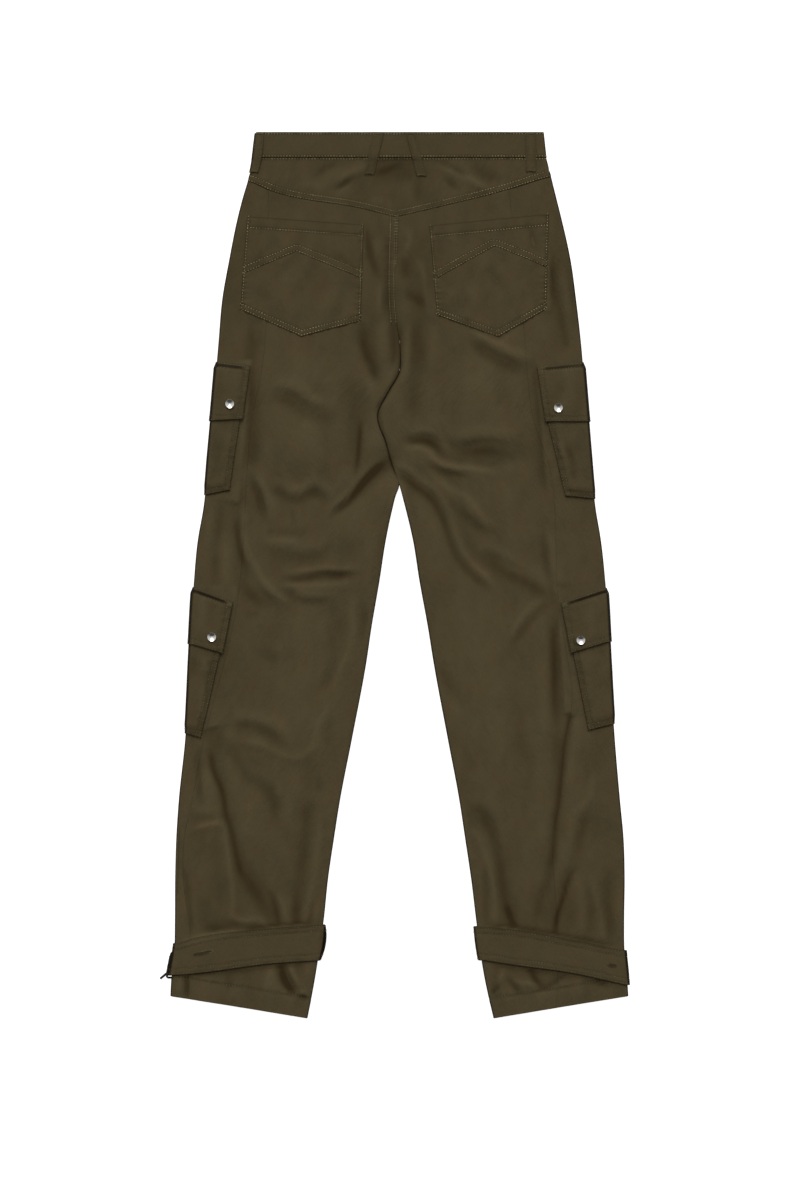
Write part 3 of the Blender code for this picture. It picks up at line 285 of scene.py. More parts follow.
FOLDS = (
    # the main creases of both legs
    Fold(((-194, 240), (-195, 330), (-194, 445)), -1.8, 11),
    Fold(((-52, 318), (-54, 360), (-56, 400), (-50, 455)), -2.0, 16),
    Fold(((0, 412), (-20, 430), (-45, 452), (-76, 486)), -4.5, 12),
    Fold(((-4, 398), (40, 400), (80, 412), (120, 412), (172, 400)), -2.0, 11),
    Fold(((4, 436), (40, 468), (66, 500), (84, 540), (115, 568), (160, 580), (208, 612)),
         -3.2, 16),
    Fold(((-130, 295), (-130, 330)), 2.6, 30),
    Fold(((-128, 385), (-128, 440)), 3.0, 28),
    Fold(((100, 300), (105, 375)), 3.0, 36),
    Fold(((125, 455), (140, 500), (155, 545)), 2.4, 22),
    Fold(((128, 620), (120, 680), (118, 760)), 2.4, 30),
    Fold(((188, 150), (200, 230), (214, 296)), -0.9, 11),
    Fold(((180, 292), (186, 400), (198, 480)), -1.5, 10),
    Fold(((-208, 460), (-207, 540), (-200, 590), (-170, 614)), -2.6, 12),
    Fold(((-246, 764), (-238, 830), (-226, 880), (-212, 940), (-190, 985), (-156, 1024)),
         -3.6, 11),
    Fold(((-224, 776), (-200, 820), (-170, 850), (-152, 900)), -2.8, 11),
    Fold(((-122, 868), (-126, 940), (-133, 1000), (-136, 1046)), -3.4, 13),
    Fold(((-264, 980), (-252, 1034), (-215, 1038)), -3.6, 14),
    Fold(((-200, 950), (-182, 1000), (-163, 1040)), -3.4, 14),
    Fold(((90, 874), (116, 898), (130, 950), (142, 1044)), -3.8, 11),
    Fold(((199, 620), (203, 700), (205, 780), (207, 850), (200, 930), (188, 1010)), -2.4, 9),
    Fold(((246, 880), (230, 950), (208, 1000), (202, 1050)), -3.0, 11),
    Fold(((270, 950), (272, 1056)), -3.0, 12),
    Fold(((-48, 62), (0, 50), (46, 62)), -2.6, 16),
    Fold(((6, 204), (22, 222), (36, 240)), -1.1, 11),
    Fold(((-98, 604), (-80, 655), (-94, 710), (-134, 748)), -1.8, 12),
    Fold(((-60, 490), (-40, 540), (-52, 590)), 1.6, 16),
    # finer ones: beside the centre seam and at the crotch
    Fold(((-50, 246), (-46, 280), (-36, 305), (-26, 335)), -3.0, 8),
    Fold(((-24, 236), (-24, 270), (-22, 304)), 1.5, 8),
    Fold(((-8, 236), (-7, 275), (-10, 314)), -1.8, 5),
    Fold(((-50, 368), (-53, 400), (-55, 425), (-60, 454)), -2.0, 3.6),
    Fold(((-62, 335), (-64, 400), (-66, 455)), -1.4, 16),
    Fold(((-40, 316), (-36, 354)), 1.2, 8),
    Fold(((-36, 390), (-36, 420)), 1.2, 12),
    Fold(((-14, 424), (-30, 432), (-50, 452), (-70, 478), (-95, 500)), -1.2, 7),
    Fold(((-125, 385), (-128, 410), (-122, 442)), 1.6, 26),
    Fold(((-187, 240), (-188, 305)), -1.2, 12),
    Fold(((-188, 326), (-186, 400), (-190, 444)), -1.2, 10),
    Fold(((-1, 245), (0, 284), (-2, 313), (-17, 341), (-28, 364), (-18, 405), (-10, 434),
          (-1, 461)), -1.5, 2.4),
    Fold(((12, 240), (9, 300), (4, 334)), 1.2, 5),
    Fold(((18, 236), (20, 300), (18, 350), (18, 388)), -2.2, 15),
    Fold(((42, 245), (43, 280), (40, 320)), 1.1, 9),
    Fold(((62, 456), (90, 480), (105, 500), (122, 512)), 1.4, 6),
    # the right knee
    Fold(((176, 634), (182, 650), (186, 668)), 1.2, 9),
    Fold(((210, 540), (212, 604)), 1.0, 6),
    Fold(((131, 676), (133, 724)), -0.8, 7),
    Fold(((46, 690), (64, 720), (90, 758)), -1.6, 9),
    Fold(((198, 636), (200, 700), (200, 740), (203, 770)), -2.0, 5.5),
    # the left thigh and knee
    Fold(((-168, 465), (-163, 490), (-163, 512)), 1.1, 6),
    Fold(((-203, 478), (-203, 502), (-204, 520), (-201, 540), (-188, 570), (-177, 587),
          (-165, 601), (-140, 616)), 2.4, 5),
    Fold(((-213, 498), (-211, 520), (-207, 545), (-200, 566), (-194, 580)), -2.6, 5),
    Fold(((-224, 525), (-226, 560), (-225, 604)), 1.2, 6),
    Fold(((-234, 478), (-233, 500), (-237, 530), (-241, 565), (-238, 600)), -2.0, 7),
    Fold(((-250, 486), (-252, 520), (-250, 545)), 1.4, 8),
    Fold(((-142, 489), (-137, 516)), -0.8, 3.5),
    Fold(((-204, 625), (-181, 627)), -1.3, 6),
    Fold(((-54, 598), (-62, 624), (-60, 649), (-66, 675), (-82, 710), (-88, 732)), 1.4, 5),
    Fold(((-49, 610), (-46, 640), (-50, 670)), -1.2, 5),
    Fold(((-92, 636), (-88, 684)), -1.0, 7),
    Fold(((-86, 703), (-102, 730)), -1.0, 6),
    Fold(((-132, 618), (-134, 645), (-130, 676)), 1.0, 14),
    # the left shin
    Fold(((-216, 787), (-200, 794), (-180, 797), (-150, 811), (-135, 814), (-120, 808),
          (-110, 795), (-107, 775), (-88, 740)), 1.4, 5),
    Fold(((-262, 796), (-262, 820), (-261, 850), (-261, 884)), -2.8, 5),
    Fold(((-248, 794), (-245, 820), (-240, 838), (-233, 852), (-229, 868), (-227, 885),
          (-218, 915), (-213, 940), (-208, 960), (-198, 978)), -4.0, 4.2),
    Fold(((-252, 824), (-248, 860), (-244, 886)), 1.5, 6),
    Fold(((-278, 913), (-268, 907), (-258, 904), (-245, 901), (-234, 899), (-228, 904),
          (-225, 920), (-222, 950), (-218, 980), (-217, 1005), (-219, 1017), (-213, 1024),
          (-200, 1026), (-186, 1025), (-176, 1030), (-166, 1040)), 2.6, 4.2),
    Fold(((-238, 908), (-236, 950), (-234, 990), (-234, 1022)), -1.9, 8),
    Fold(((-256, 925), (-256, 960), (-262, 1004)), 1.0, 10),
    Fold(((-262, 1036), (-240, 1034), (-226, 1034), (-196, 1034)), -2.6, 7),
    Fold(((-208, 958), (-192, 985), (-183, 1012)), -2.4, 10),
    Fold(((-123, 866), (-122, 900), (-126, 940), (-131, 980), (-134, 1028)), -2.0, 8),
    Fold(((-103, 885), (-107, 935), (-112, 970), (-122, 1010), (-126, 1040)), 1.7, 5),
    Fold(((-88, 760), (-95, 785), (-92, 806)), -1.1, 4.5),
    Fold(((-107, 840), (-106, 862)), -0.8, 3.5),
    Fold(((-157, 914), (-149, 946)), 0.8, 4.5),
    Fold(((-200, 862), (-188, 905), (-172, 945), (-164, 984)), 1.3, 9),
    Fold(((-285, 950), (-278, 975), (-276, 995), (-272, 1020), (-270, 1050)), -2.6, 3.4),
    Fold(((-287, 960), (-282, 990), (-278, 1026)), 1.2, 3.5),
    Fold(((-266, 958), (-268, 1000), (-264, 1046)), 1.0, 6),
    Fold(((-173, 984), (-164, 1000), (-160, 1015), (-156, 1040)), -4.0, 4.6),
    Fold(((-162, 984), (-153, 1005), (-148, 1020), (-143, 1038)), 1.9, 3.8),
    Fold(((-137, 978), (-136, 1010), (-137, 1040)), -2.6, 6),
    Fold(((-111, 994), (-115, 1015), (-119, 1036)), -1.8, 3.2),
    Fold(((-107, 994), (-110, 1036)), 1.0, 4),
    # the left leg below its strap
    Fold(((-290, 1094), (-290, 1122)), 1.2, 5),
    Fold(((-278, 1088), (-277, 1130)), -2.2, 3.2),
    Fold(((-252, 1090), (-250, 1126)), 0.9, 9),
    Fold(((-223, 1092), (-222, 1120)), -1.4, 4.5),
    Fold(((-201, 1090), (-192, 1124)), -1.2, 12),
    Fold(((-168, 1078), (-168, 1100), (-167, 1132)), 2.0, 9),
    Fold(((-156, 1078), (-152, 1097), (-145, 1111), (-132, 1124)), -5.6, 6.0),
    Fold(((-144, 1080), (-139, 1099), (-130, 1113)), 2.4, 4.2),
    Fold(((-120, 1080), (-120, 1112)), 0.9, 3.4),
    Fold(((-134, 1136), (-122, 1139)), -0.9, 8),
    # the right shin
    Fold(((229, 734), (222, 755), (218, 775), (214, 800), (211, 825), (206, 870), (203, 890),
          (201, 910), (199, 940), (194, 964)), -3.6, 4.4),
    Fold(((229, 745), (229, 790), (224, 820), (218, 862)), 1.2, 6),
    Fold(((203, 775), (203, 845)), -1.0, 8),
    Fold(((154, 735), (158, 800), (168, 820), (170, 880)), -1.1, 9),
    Fold(((186, 684), (188, 750), (188, 806)), 0.8, 8),
    Fold(((84, 800), (90, 820), (100, 842)), -1.0, 6),
    Fold(((94, 880), (110, 890), (119, 904), (126, 935), (130, 960), (135, 990), (141, 1015),
          (150, 1040)), -2.6, 7),
    Fold(((87, 902), (100, 914), (108, 935), (116, 955), (121, 975), (124, 1000), (123, 1038)),
         1.9, 4.6),
    Fold(((110, 946), (112, 990), (111, 1038)), -1.9, 5),
    Fold(((103, 950), (103, 990), (103, 1038)), 1.2, 4),
    Fold(((138, 1000), (145, 1024), (155, 1042)), -3.4, 4.4),
    Fold(((253, 826), (249, 856), (241, 871), (226, 890), (222, 905), (218, 940), (210, 975)),
         1.3, 5),
    Fold(((248, 828), (239, 851)), -1.0, 3.5),
    Fold(((243, 880), (237, 905), (232, 925), (230, 950)), -2.4, 6),
    Fold(((258, 888), (255, 940)), -1.4, 12),
    Fold(((282, 855), (284, 960), (284, 1050)), 1.0, 9),
    Fold(((233, 955), (222, 965), (216, 980), (212, 995), (207, 1010), (203, 1025),
          (200, 1052)), -4.2, 3.4),
    Fold(((226, 962), (234, 985), (237, 1010), (236, 1052)), 1.7, 4.2),
    Fold(((222, 992), (221, 1052)), -1.2, 6),
    Fold(((245, 978), (249, 1015), (250, 1054)), -1.7, 5),
    Fold(((244, 962), (252, 985), (258, 1005), (263, 1030), (267, 1062)), 1.6, 3.2),
    Fold(((266, 968), (272, 1010), (274, 1060)), -2.4, 7),
    Fold(((199, 932), (196, 955), (192, 975), (180, 1010), (178, 1038)), -1.8, 6.5),
    Fold(((160, 890), (165, 950), (162, 1000), (168, 1034)), 1.3, 12),
    Fold(((212, 930), (206, 962), (201, 990)), 1.2, 5),
    # the right leg below its strap
    Fold(((166, 1086), (177, 1103), (189, 1114)), -3.0, 5),
    Fold(((219, 1094), (206, 1103), (191, 1112), (172, 1115)), -1.8, 4.2),
    Fold(((144, 1099), (156, 1107), (170, 1108), (186, 1112)), 1.1, 3),
    Fold(((139, 1098), (147, 1111), (158, 1122)), -1.8, 4),
    Fold(((137, 1084), (130, 1104), (122, 1116)), 1.0, 3.5),
    Fold(((130, 1105), (123, 1117), (113, 1125)), -1.8, 3.2),
    Fold(((232, 1092), (232, 1130)), 1.2, 8),
    Fold(((252, 1103), (270, 1109)), -1.6, 5),
    # the yoke
    Fold(((-76, 40), (-95, 48), (-112, 60)), -1.5, 6),
    Fold(((-58, 58), (-72, 68), (-88, 77)), -1.9, 3.2),
    Fold(((-40, 45), (-60, 52), (-84, 66)), 1.6, 6),
    Fold(((-96, 72), (-126, 70)), 0.8, 6),
    Fold(((-36, 57), (-20, 50), (-4, 43), (10, 40)), -2.0, 5),
    Fold(((23, 55), (23, 80), (24, 104)), -1.3, 5),
    Fold(((43, 39), (62, 48), (80, 59)), 1.5, 5),
    Fold(((78, 55), (98, 66), (118, 78)), 1.6, 5),
    Fold(((58, 60), (78, 78)), -1.5, 4),
    Fold(((94, 45), (112, 58), (138, 66)), -1.8, 9),
    Fold(((40, 38), (60, 44), (92, 60)), -1.6, 3.4),
    Fold(((-34, 84), (-34, 98)), 0.7, 2.2),
    Fold(((-24, 84), (-25, 100)), 0.7, 2.2),
    Fold(((-13, 86), (-14, 104)), 0.7, 2.2),
    # the seat
    Fold(((-47, 116), (-43, 140), (-38, 165), (-31, 184), (-23, 197)), -1.6, 4.8),
    Fold(((-31, 134), (-30, 168)), 1.0, 7),
    Fold(((-16, 130), (-16, 200), (-14, 248)), -1.2, 4.4),
    Fold(((-25, 192), (-27, 220), (-28, 248)), 1.2, 4.4),
    Fold(((4, 164), (8, 196)), -1.5, 6),
    Fold(((6, 213), (20, 217), (34, 230)), -1.0, 6),
    Fold(((4, 122), (13, 140), (4, 164)), 1.0, 4.4),
    Fold(((22, 162), (34, 195), (39, 244)), 1.2, 5),
    Fold(((194, 156), (198, 195), (204, 220), (209, 242), (214, 262), (219, 294)), -1.2, 5.4),
    Fold(((213, 164), (219, 210), (223, 248)), 1.2, 8),
)
POCKET_FOLDS = (
    Fold(((108, 168), (124, 190), (142, 214)), -1.4, 8),
    Fold(((169, 122), (178, 164)), -1.0, 5),
    Fold(((84, 196), (96, 214), (104, 236)), 0.7, 10),
    Fold(((60, 120), (70, 145)), 0.6, 8),
    Fold(((-119, 176), (-113, 210)), -0.8, 12),
    Fold(((-178, 190), (-178, 220)), -0.8, 10),
    Fold(((-140, 176), (-150, 220)), 0.7, 10),
    Fold(((-94, 160), (-74, 168), (-58, 182)), -0.9, 5),
    Fold(((-120, 118), (-124, 146)), 0.7, 12),
    Fold(((203, 396), (214, 420), (230, 452)), 1.2, 6),
    Fold(((214, 398), (222, 430), (231, 468)), -1.6, 5),
    Fold(((-262, 396), (-258, 425), (-252, 456)), 0.9, 8),
    Fold(((-240, 392), (-236, 430), (-240, 462)), -0.8, 7),
    Fold(((-254, 680), (-254, 708)), 0.9, 4.4),
    Fold(((-243, 684), (-243, 718)), -1.3, 6),
    Fold(((-268, 684), (-268, 716)), -1.0, 5),
    Fold(((-256, 712), (-257, 740), (-262, 762)), 1.0, 6),
    Fold(((-252, 762), (-262, 784)), -1.5, 5),
    Fold(((-256, 603), (-256, 662)), 0.9, 5),
    Fold(((228, 690), (230, 716), (238, 748)), -1.0, 6),
    Fold(((248, 676), (246, 712), (252, 750)), 0.9, 8),
    Fold(((247, 618), (248, 662)), 0.8, 5),
    Fold(((-232, 310), (-236, 368)), -0.7, 8),
    Fold(((226, 312), (222, 366)), 0.7, 8),
)
UNDER_FOLDS = (
    Fold(((-150, 250), (-110, 330), (-60, 420)), 0.6, 16),
    Fold(((150, 240), (110, 330), (50, 430)), 0.6, 15),
    Fold(((-20, 470), (-90, 560), (-150, 640)), 0.6, 18),
    Fold(((30, 480), (90, 560), (160, 620)), 0.6, 18),
    Fold(((-110, 700), (-130, 800), (-150, 900)), 0.5, 16),
    Fold(((120, 700), (140, 800), (150, 900)), 0.5, 17),
    Fold(((-130, 930), (-180, 980), (-230, 1000)), 0.6, 13),
    Fold(((120, 950), (180, 990), (230, 980)), 0.6, 13),
    Fold(((-60, 120), (-90, 170), (-100, 240)), 0.5, 14),
    Fold(((70, 110), (100, 180), (96, 250)), 0.5, 14),
)
TONES = (
    # the middle of the yoke, the cloth beside the centre seam, and the crotch: painted shade,
    # partly also darker dye
    Fold(((-50, 68), (40, 68)), 0.8, 26),
    Fold(((-30, 125), (-26, 310)), 0.6, 18),
    Fold(((28, 125), (26, 310)), 0.6, 18),
    Fold(((-50, 400), (-20, 465)), 0.8, 18),
    # the hips at their outer edges: painted shade, partly also darker dye
    Fold(((-215, 130), (-228, 280)), 0.5, 18),
    Fold(((215, 130), (226, 280)), 0.7, 18),
    # the thighs and shins, which are paler: painted light, partly also faded cloth
    Fold(((-125, 290), (-125, 430)), -0.6, 34),
    Fold(((100, 290), (105, 430)), -0.6, 34),
    Fold(((-110, 610), (-135, 810)), -0.6, 34),
    Fold(((80, 610), (130, 810)), -0.6, 34),
    # the legs above the straps: painted shade, partly also darker dye
    Fold(((-250, 980), (-135, 1000)), 1.0, 36),
    Fold(((110, 1005), (270, 1005)), 0.9, 32),
    # painted shade beside the edges of the straps and at the turned end of the left one, and
    # painted light along the top edge of the left strap near its outer end
    Fold(((-292, 1055), (-216, 1041)), -2.0, 2.5),
    Fold(((-216, 1037), (-169, 1032), (-100, 1027)), 1.8, 2.5),
    Fold(((-288, 1099), (-169, 1086), (-112, 1081)), 1.4, 2.5),
    Fold(((104, 1030), (152, 1034), (222, 1046), (286, 1059)), 1.8, 2.5),
    Fold(((112, 1081), (152, 1088), (222, 1098), (290, 1113)), 1.4, 2.5),
    Fold(((-100, 1034), (-97, 1052), (-100, 1072)), 3.5, 2.2),
)
DOWNHILL = (0.1, 0.99)    # the side of a slope's line that lies lower, as (across, down)
FOLD_SKIRT = 0.4          # how much of a fold runs on over the wider cloth beside it
SEAM_CLOSE = 0.11         # how much nearer than its solid a piece comes to its neighbours
PLAIN_ROUND = 0.3         # rounding of an edge without a row of stitches
Press = namedtuple("Press", "edge groove band gather")
Ease = namedtuple("Ease", "down share")
EASES = (Ease(-20, 0.92), Ease(120, 1.0), Ease(230, 1.15), Ease(420, 1.05), Ease(500, 0.84),
         Ease(700, 0.80), Ease(830, 0.60), Ease(1060, 0.66), Ease(1100, 0.95), Ease(1180, 0.95))
# How much painted shade sewing gives a piece: along its edge, in its rows and on the cloth doubled
# between, where a negative value paints light instead; and how high the small waves beside its rows
# are.
PANEL_PRESS = Press(0.16, 0.40, 0.0, 0.40)
YOKE_PRESS = Press(0.42, 0.55, 0.03, 0.70)
WAIST_PRESS = Press(0.55, 0.45, 0.0, 0.25)
LOOP_PRESS = Press(0.08, 0.06, 0.0, 0.06)
BACK_POCKET_PRESS = Press(0.42, 0.50, 0.03, 0.60)
CARGO_PRESS = Press(0.55, 0.20, -0.06, 0.35)
STRAP_PRESS = Press(0.75, 0.16, 0.0, 0.12)
FOLD_EDGE = 2.6           # shade where the cloth turns under
CHEVRON_APEX = {"left": 0.43, "right": 0.53}
HUG = 0.5                 # how much of its thickness a cargo pocket shows beyond the outer edge

# ---- curves through the tables -----------------------------------------------------------------
def smooth_step(low, high, value):
    share = np.clip((value - low) / (high - low), 0.0, 1.0)
    return share * share * (3.0 - 2.0 * share)


def bump(value, low, high, slope):
    """1 between low and high, running out smoothly over slope on each side."""
    return smooth_step(low - slope, low, value) * (1.0 - smooth_step(high, high + slope, value))


def table_curve(rows, key, column):
    """A smooth curve through one column of a table, read at any value of its key column."""
    keys = np.array([getattr(row, key) for row in rows], dtype=float)
    values = np.array([getattr(row, column) for row in rows], dtype=float)
    slopes = np.gradient(values, keys)

    def read(at):
        at = np.clip(at, keys[0], keys[-1])
        i = np.clip(np.searchsorted(keys, at) - 1, 0, len(keys) - 2)
        span = keys[i + 1] - keys[i]
        t = (at - keys[i]) / span
        return ((2 * t**3 - 3 * t**2 + 1) * values[i] + (t**3 - 2 * t**2 + t) * span * slopes[i]
                + (3 * t**2 - 2 * t**3) * values[i + 1] + (t**3 - t**2) * span * slopes[i + 1])
    return read


COLUMN = {-1: "left", 1: "right"}
OUTER = {side: table_curve(OUTER_EDGE, "down", COLUMN[side]) for side in COLUMN}
INNER = {side: table_curve(INNER_EDGE, "down", COLUMN[side]) for side in COLUMN}
BACK_SEAM = {side: table_curve(BACK_SIDE_SEAM, "down", COLUMN[side]) for side in COLUMN}
FRONT_INSET = {side: table_curve(FRONT_SEAM_INSET, "down", COLUMN[side]) for side in COLUMN}
YOKE = {-1: table_curve(YOKE_SEAM_LEFT, "across", "down"),
        1: table_curve(YOKE_SEAM_RIGHT, "across", "down")}
STRAP_TOP = {side: table_curve(STRAPS[side], "across", "top") for side in COLUMN}
STRAP_BOTTOM = {side: table_curve(STRAPS[side], "across", "bottom") for side in COLUMN}


def centre_line(down):
    return 0.5 * (INNER[-1](down) + INNER[1](down))


def leg_share(down):
    """0 above the crotch, where the halves are sewn together, and 1 on the legs."""
    return smooth_step(CROTCH_DOWN - 14.0, CROTCH_DOWN + 26.0, down)


def inner_edge(side, down, front=False):
    """The centre seam above the crotch, the inner edge of the leg below it."""
    edge = INNER[side](down)
    if front:
        edge = edge + (FRONT_CENTRE - edge) * (1.0 - smooth_step(CROTCH_DOWN - 120, CROTCH_DOWN,
                                                                 down))
    return edge + side * 0.5 * SEAM_GAP


# ---- relief: creases and the slight unevenness of laid cloth -----------------------------------
def smooth_line(places, steps=5):
    """A smooth line through any number of places."""
    given = np.array(places, dtype=float)
    if len(given) == 2:
        return np.linspace(given[0], given[1], 2 * steps)
    held = np.concatenate([[2 * given[0] - given[1]], given, [2 * given[-1] - given[-2]]])
    line = [given[:1]]
    t = (np.arange(1, steps + 1) / steps)[:, None]
    for a, b, c, d in zip(held, held[1:], held[2:], held[3:]):
        line.append(0.5 * (2 * b + (c - a) * t + (2 * a - 5 * b + 4 * c - d) * t**2
                           + (3 * b - a - 3 * c + d) * t**3))
    return np.concatenate(line)


class Relief:
    """Heights on an even grid of places, read smoothly anywhere."""

    STEP = 1.5
    LOW_ACROSS, HIGH_ACROSS, LOW_DOWN, HIGH_DOWN = -325.0, 325.0, -20.0, 1180.0

    def __init__(self):
        self.across = np.arange(self.LOW_ACROSS, self.HIGH_ACROSS, self.STEP)
        self.down = np.arange(self.LOW_DOWN, self.HIGH_DOWN, self.STEP)
        self.height = np.zeros((len(self.down), len(self.across)))
        self.hollow = np.zeros_like(self.height)
        self.tone = np.zeros_like(self.height)

    def lay(self, line, height, width, steps_down=False):
        """Adds one fold along a line of places: a ridge, a trough or a step down across it."""
        chord = line[-1] - line[0]
        facing = 1.0 if chord[0] * DOWNHILL[1] - chord[1] * DOWNHILL[0] > 0.0 else -1.0
        run = np.concatenate([[0.0], np.cumsum(np.hypot(*np.diff(line, axis=0).T))])
        for share, spread in ((1.0, width), (FOLD_SKIRT, 2.6 * width)):
            spread = spread * (1.0 if steps_down else 0.71)
            at = np.linspace(0.0, run[-1], max(int(run[-1] / spread * 2.0), 8))
            spot = np.stack([np.interp(at, run, line[:, 0]), np.interp(at, run, line[:, 1])])
            along = np.gradient(spot, axis=1)
            weight = np.hypot(*along) / (math.sqrt(2.0 * math.pi) * spread)
            taper = min(0.35 * run[-1], 26.0)
            weight *= (height * share * smooth_step(-1.0, taper, at)
                       * smooth_step(-1.0, taper, run[-1] - at))
            aside = (self.across - spot[0][:, None]) / spread
            below = (self.down - spot[1][:, None]) / spread
            wide, long = np.exp(-0.5 * aside**2), np.exp(-0.5 * below**2)
            if steps_down:
                along *= facing * math.exp(0.5) / np.maximum(np.hypot(*along), 1e-9)
                self.height += ((long * (weight * along[1])[:, None]).T @ (wide * aside)
                                - (long * below * (weight * along[0])[:, None]).T @ wide)
            else:
                self.height += (long * weight[:, None]).T @ wide

    def shade(self, line, amount, width):
        """Adds a band of darker cloth along a line of places, paler where the amount is negative:
        painted shade and painted light, partly also uneven fading.
        """
        height, self.height = self.height, self.tone
        self.lay(line, amount, width)
        self.height, self.tone = height, self.height

    def find_hollows(self):
        """Notes how far every place lies under (positive) or over its surroundings."""
        self.hollow = np.zeros_like(self.height)
        for reach, share in ((4, 0.7), (11, 0.5)):
            k = np.exp(-0.5 * (np.arange(-3 * reach, 3 * reach + 1) / reach)**2)
            around = self.height
            for axis in (0, 1):
                around = np.apply_along_axis(np.convolve, axis, around, k / k.sum(), "same")
            self.hollow += share * (around - self.height)

    def ripple(self, seed, count, shortest, longest, height, upright):
        """Adds faint waves of many directions; upright makes most of them run down the leg."""
        draw = np.random.default_rng(seed)
        across, down = np.meshgrid(self.across, self.down)
        for _ in range(count):
            length = draw.uniform(shortest, longest)
            turn = draw.uniform(-math.pi, math.pi)
            k = 2.0 * math.pi / length
            start = draw.uniform(0.0, 2.0 * math.pi)
            wave = np.sin(k * (across * math.cos(turn) + down * math.sin(turn) / upright) + start)
            self.height += wave * height / math.sqrt(count)

    def read(self, across, down, layer="height"):
        """Straight-line reading between the four nearest places."""
        i = (np.asarray(across) - self.LOW_ACROSS) / self.STEP
        j = (np.asarray(down) - self.LOW_DOWN) / self.STEP
        i0 = np.clip(i.astype(int), 0, len(self.across) - 2)
        j0 = np.clip(j.astype(int), 0, len(self.down) - 2)
        a, b = np.clip(i - i0, 0.0, 1.0), np.clip(j - j0, 0.0, 1.0)
        h = getattr(self, layer)
        return ((1 - b) * ((1 - a) * h[j0, i0] + a * h[j0, i0 + 1])
                + b * ((1 - a) * h[j0 + 1, i0] + a * h[j0 + 1, i0 + 1]))


Ripple = namedtuple("Ripple", "seed count shortest longest height upright")
BACK_RIPPLES = (Ripple(7, 46, 26.0, 95.0, 0.42, 1.9), Ripple(23, 60, 11.0, 24.0, 0.10, 2.2))
POCKET_RIPPLES = (Ripple(11, 30, 22.0, 70.0, 0.34, 1.5), Ripple(29, 60, 10.0, 22.0, 0.10, 1.6))
BACK_RELIEF = Relief()
POCKET_RELIEF = Relief()
UNDER_RELIEF = Relief()


# ---- the ground side ---------------------------------------------------------------------------
def snap_above_end(pocket):
    return pocket.flap_end + pocket.end_lean * pocket.snap_in - pocket.snap_down


def soft_maximum(a, b, blend=0.8):
    return 0.5 * (a + b + np.sqrt((a - b)**2 + blend * blend))


def under_lift(side, inset, down):
    """How far the underside is off the ground, for what is sewn on beneath it."""
    lift = WAIST_LIFT * (1.0 - smooth_step(62.0, 104.0, down))
    lift = soft_maximum(lift, STRAP_LIFT * bump(down, 1012.0, 1116.0, 34.0), 0.4)
    for pocket in CARGO_POCKETS:
        if pocket.side != side:
            continue
        reach = bump(inset, -50.0, pocket.under + LIFT_PLATEAU, LIFT_SLOPE)
        top = pocket.flap_top - pocket.flap_lean * inset - LIFT_MARGIN
        flap_end = pocket.flap_end - pocket.end_lean * inset
        bottom = pocket.bottom - pocket.bottom_lean * inset + LIFT_MARGIN
        snap = flap_end - snap_above_end(pocket)
        pad = POCKET_LIFT * bump(down, top, bottom, LIFT_SLOPE)
        pad = pad + POCKET_LIFT * bump(down, top, flap_end + LIFT_MARGIN, LIFT_SLOPE)
        pad = pad + (HIDDEN_SNAP_TALL + SEAM_GAP) * bump(down, snap - LIFT_MARGIN,
                                                         snap + LIFT_MARGIN, LIFT_SLOPE)
        lift = soft_maximum(lift, reach * pad, 0.4)
    return lift - 0.2


def bottom_height(side, across, down):
    """The underside lies on the ground or on what is sewn on beneath it, with soft hollows."""
    rest = under_lift(side, np.abs(across - OUTER[side](down)), down)
    return rest + np.maximum(UNDER_RELIEF.read(across, down), 0.0)


def calm(side, across, down, run_out):
    """1 where folds may run, 0 under the pieces that are sewn on and along the edges."""
    share = smooth_step(WAISTBAND_DEEP, WAISTBAND_DEEP + run_out, down)
    for pocket in BACK_POCKETS:
        left, right = pocket.low_left[0], pocket.low_right[0]
        low = np.interp(across, (left, pocket.tip[0], right),
                        (pocket.low_left[1], pocket.tip[1], pocket.low_right[1]))
        inside = (bump(across, min(left, pocket.top_left[0]), max(right, pocket.top_right[0]),
                       run_out)
                  * bump(down, pocket.top_left[1], low, run_out))
        share = share * (1.0 - inside)
    outer_inset = np.abs(across - OUTER[side](down))
    for pocket in CARGO_POCKETS:
        if pocket.side == side:
            end = pocket.bottom - pocket.bottom_lean * outer_inset
            inside = (bump(outer_inset, -20.0, pocket.reach_flap, run_out)
                      * bump(down, pocket.flap_top, end, run_out))
            share = share * (1.0 - inside)
    share = share * (1.0 - bump(down, STRAP_TOP[side](across), STRAP_BOTTOM[side](across),
                                run_out))
    share = share * smooth_step(ROLL - 1.0, ROLL + 1.5 * run_out, outer_inset)
    on_leg = leg_share(down)
    inner_inset = np.abs(across - INNER[side](down))
    return share * (1.0 - on_leg + on_leg * smooth_step(ROLL - 1.0, ROLL + 1.5 * run_out,
                                                        inner_inset))


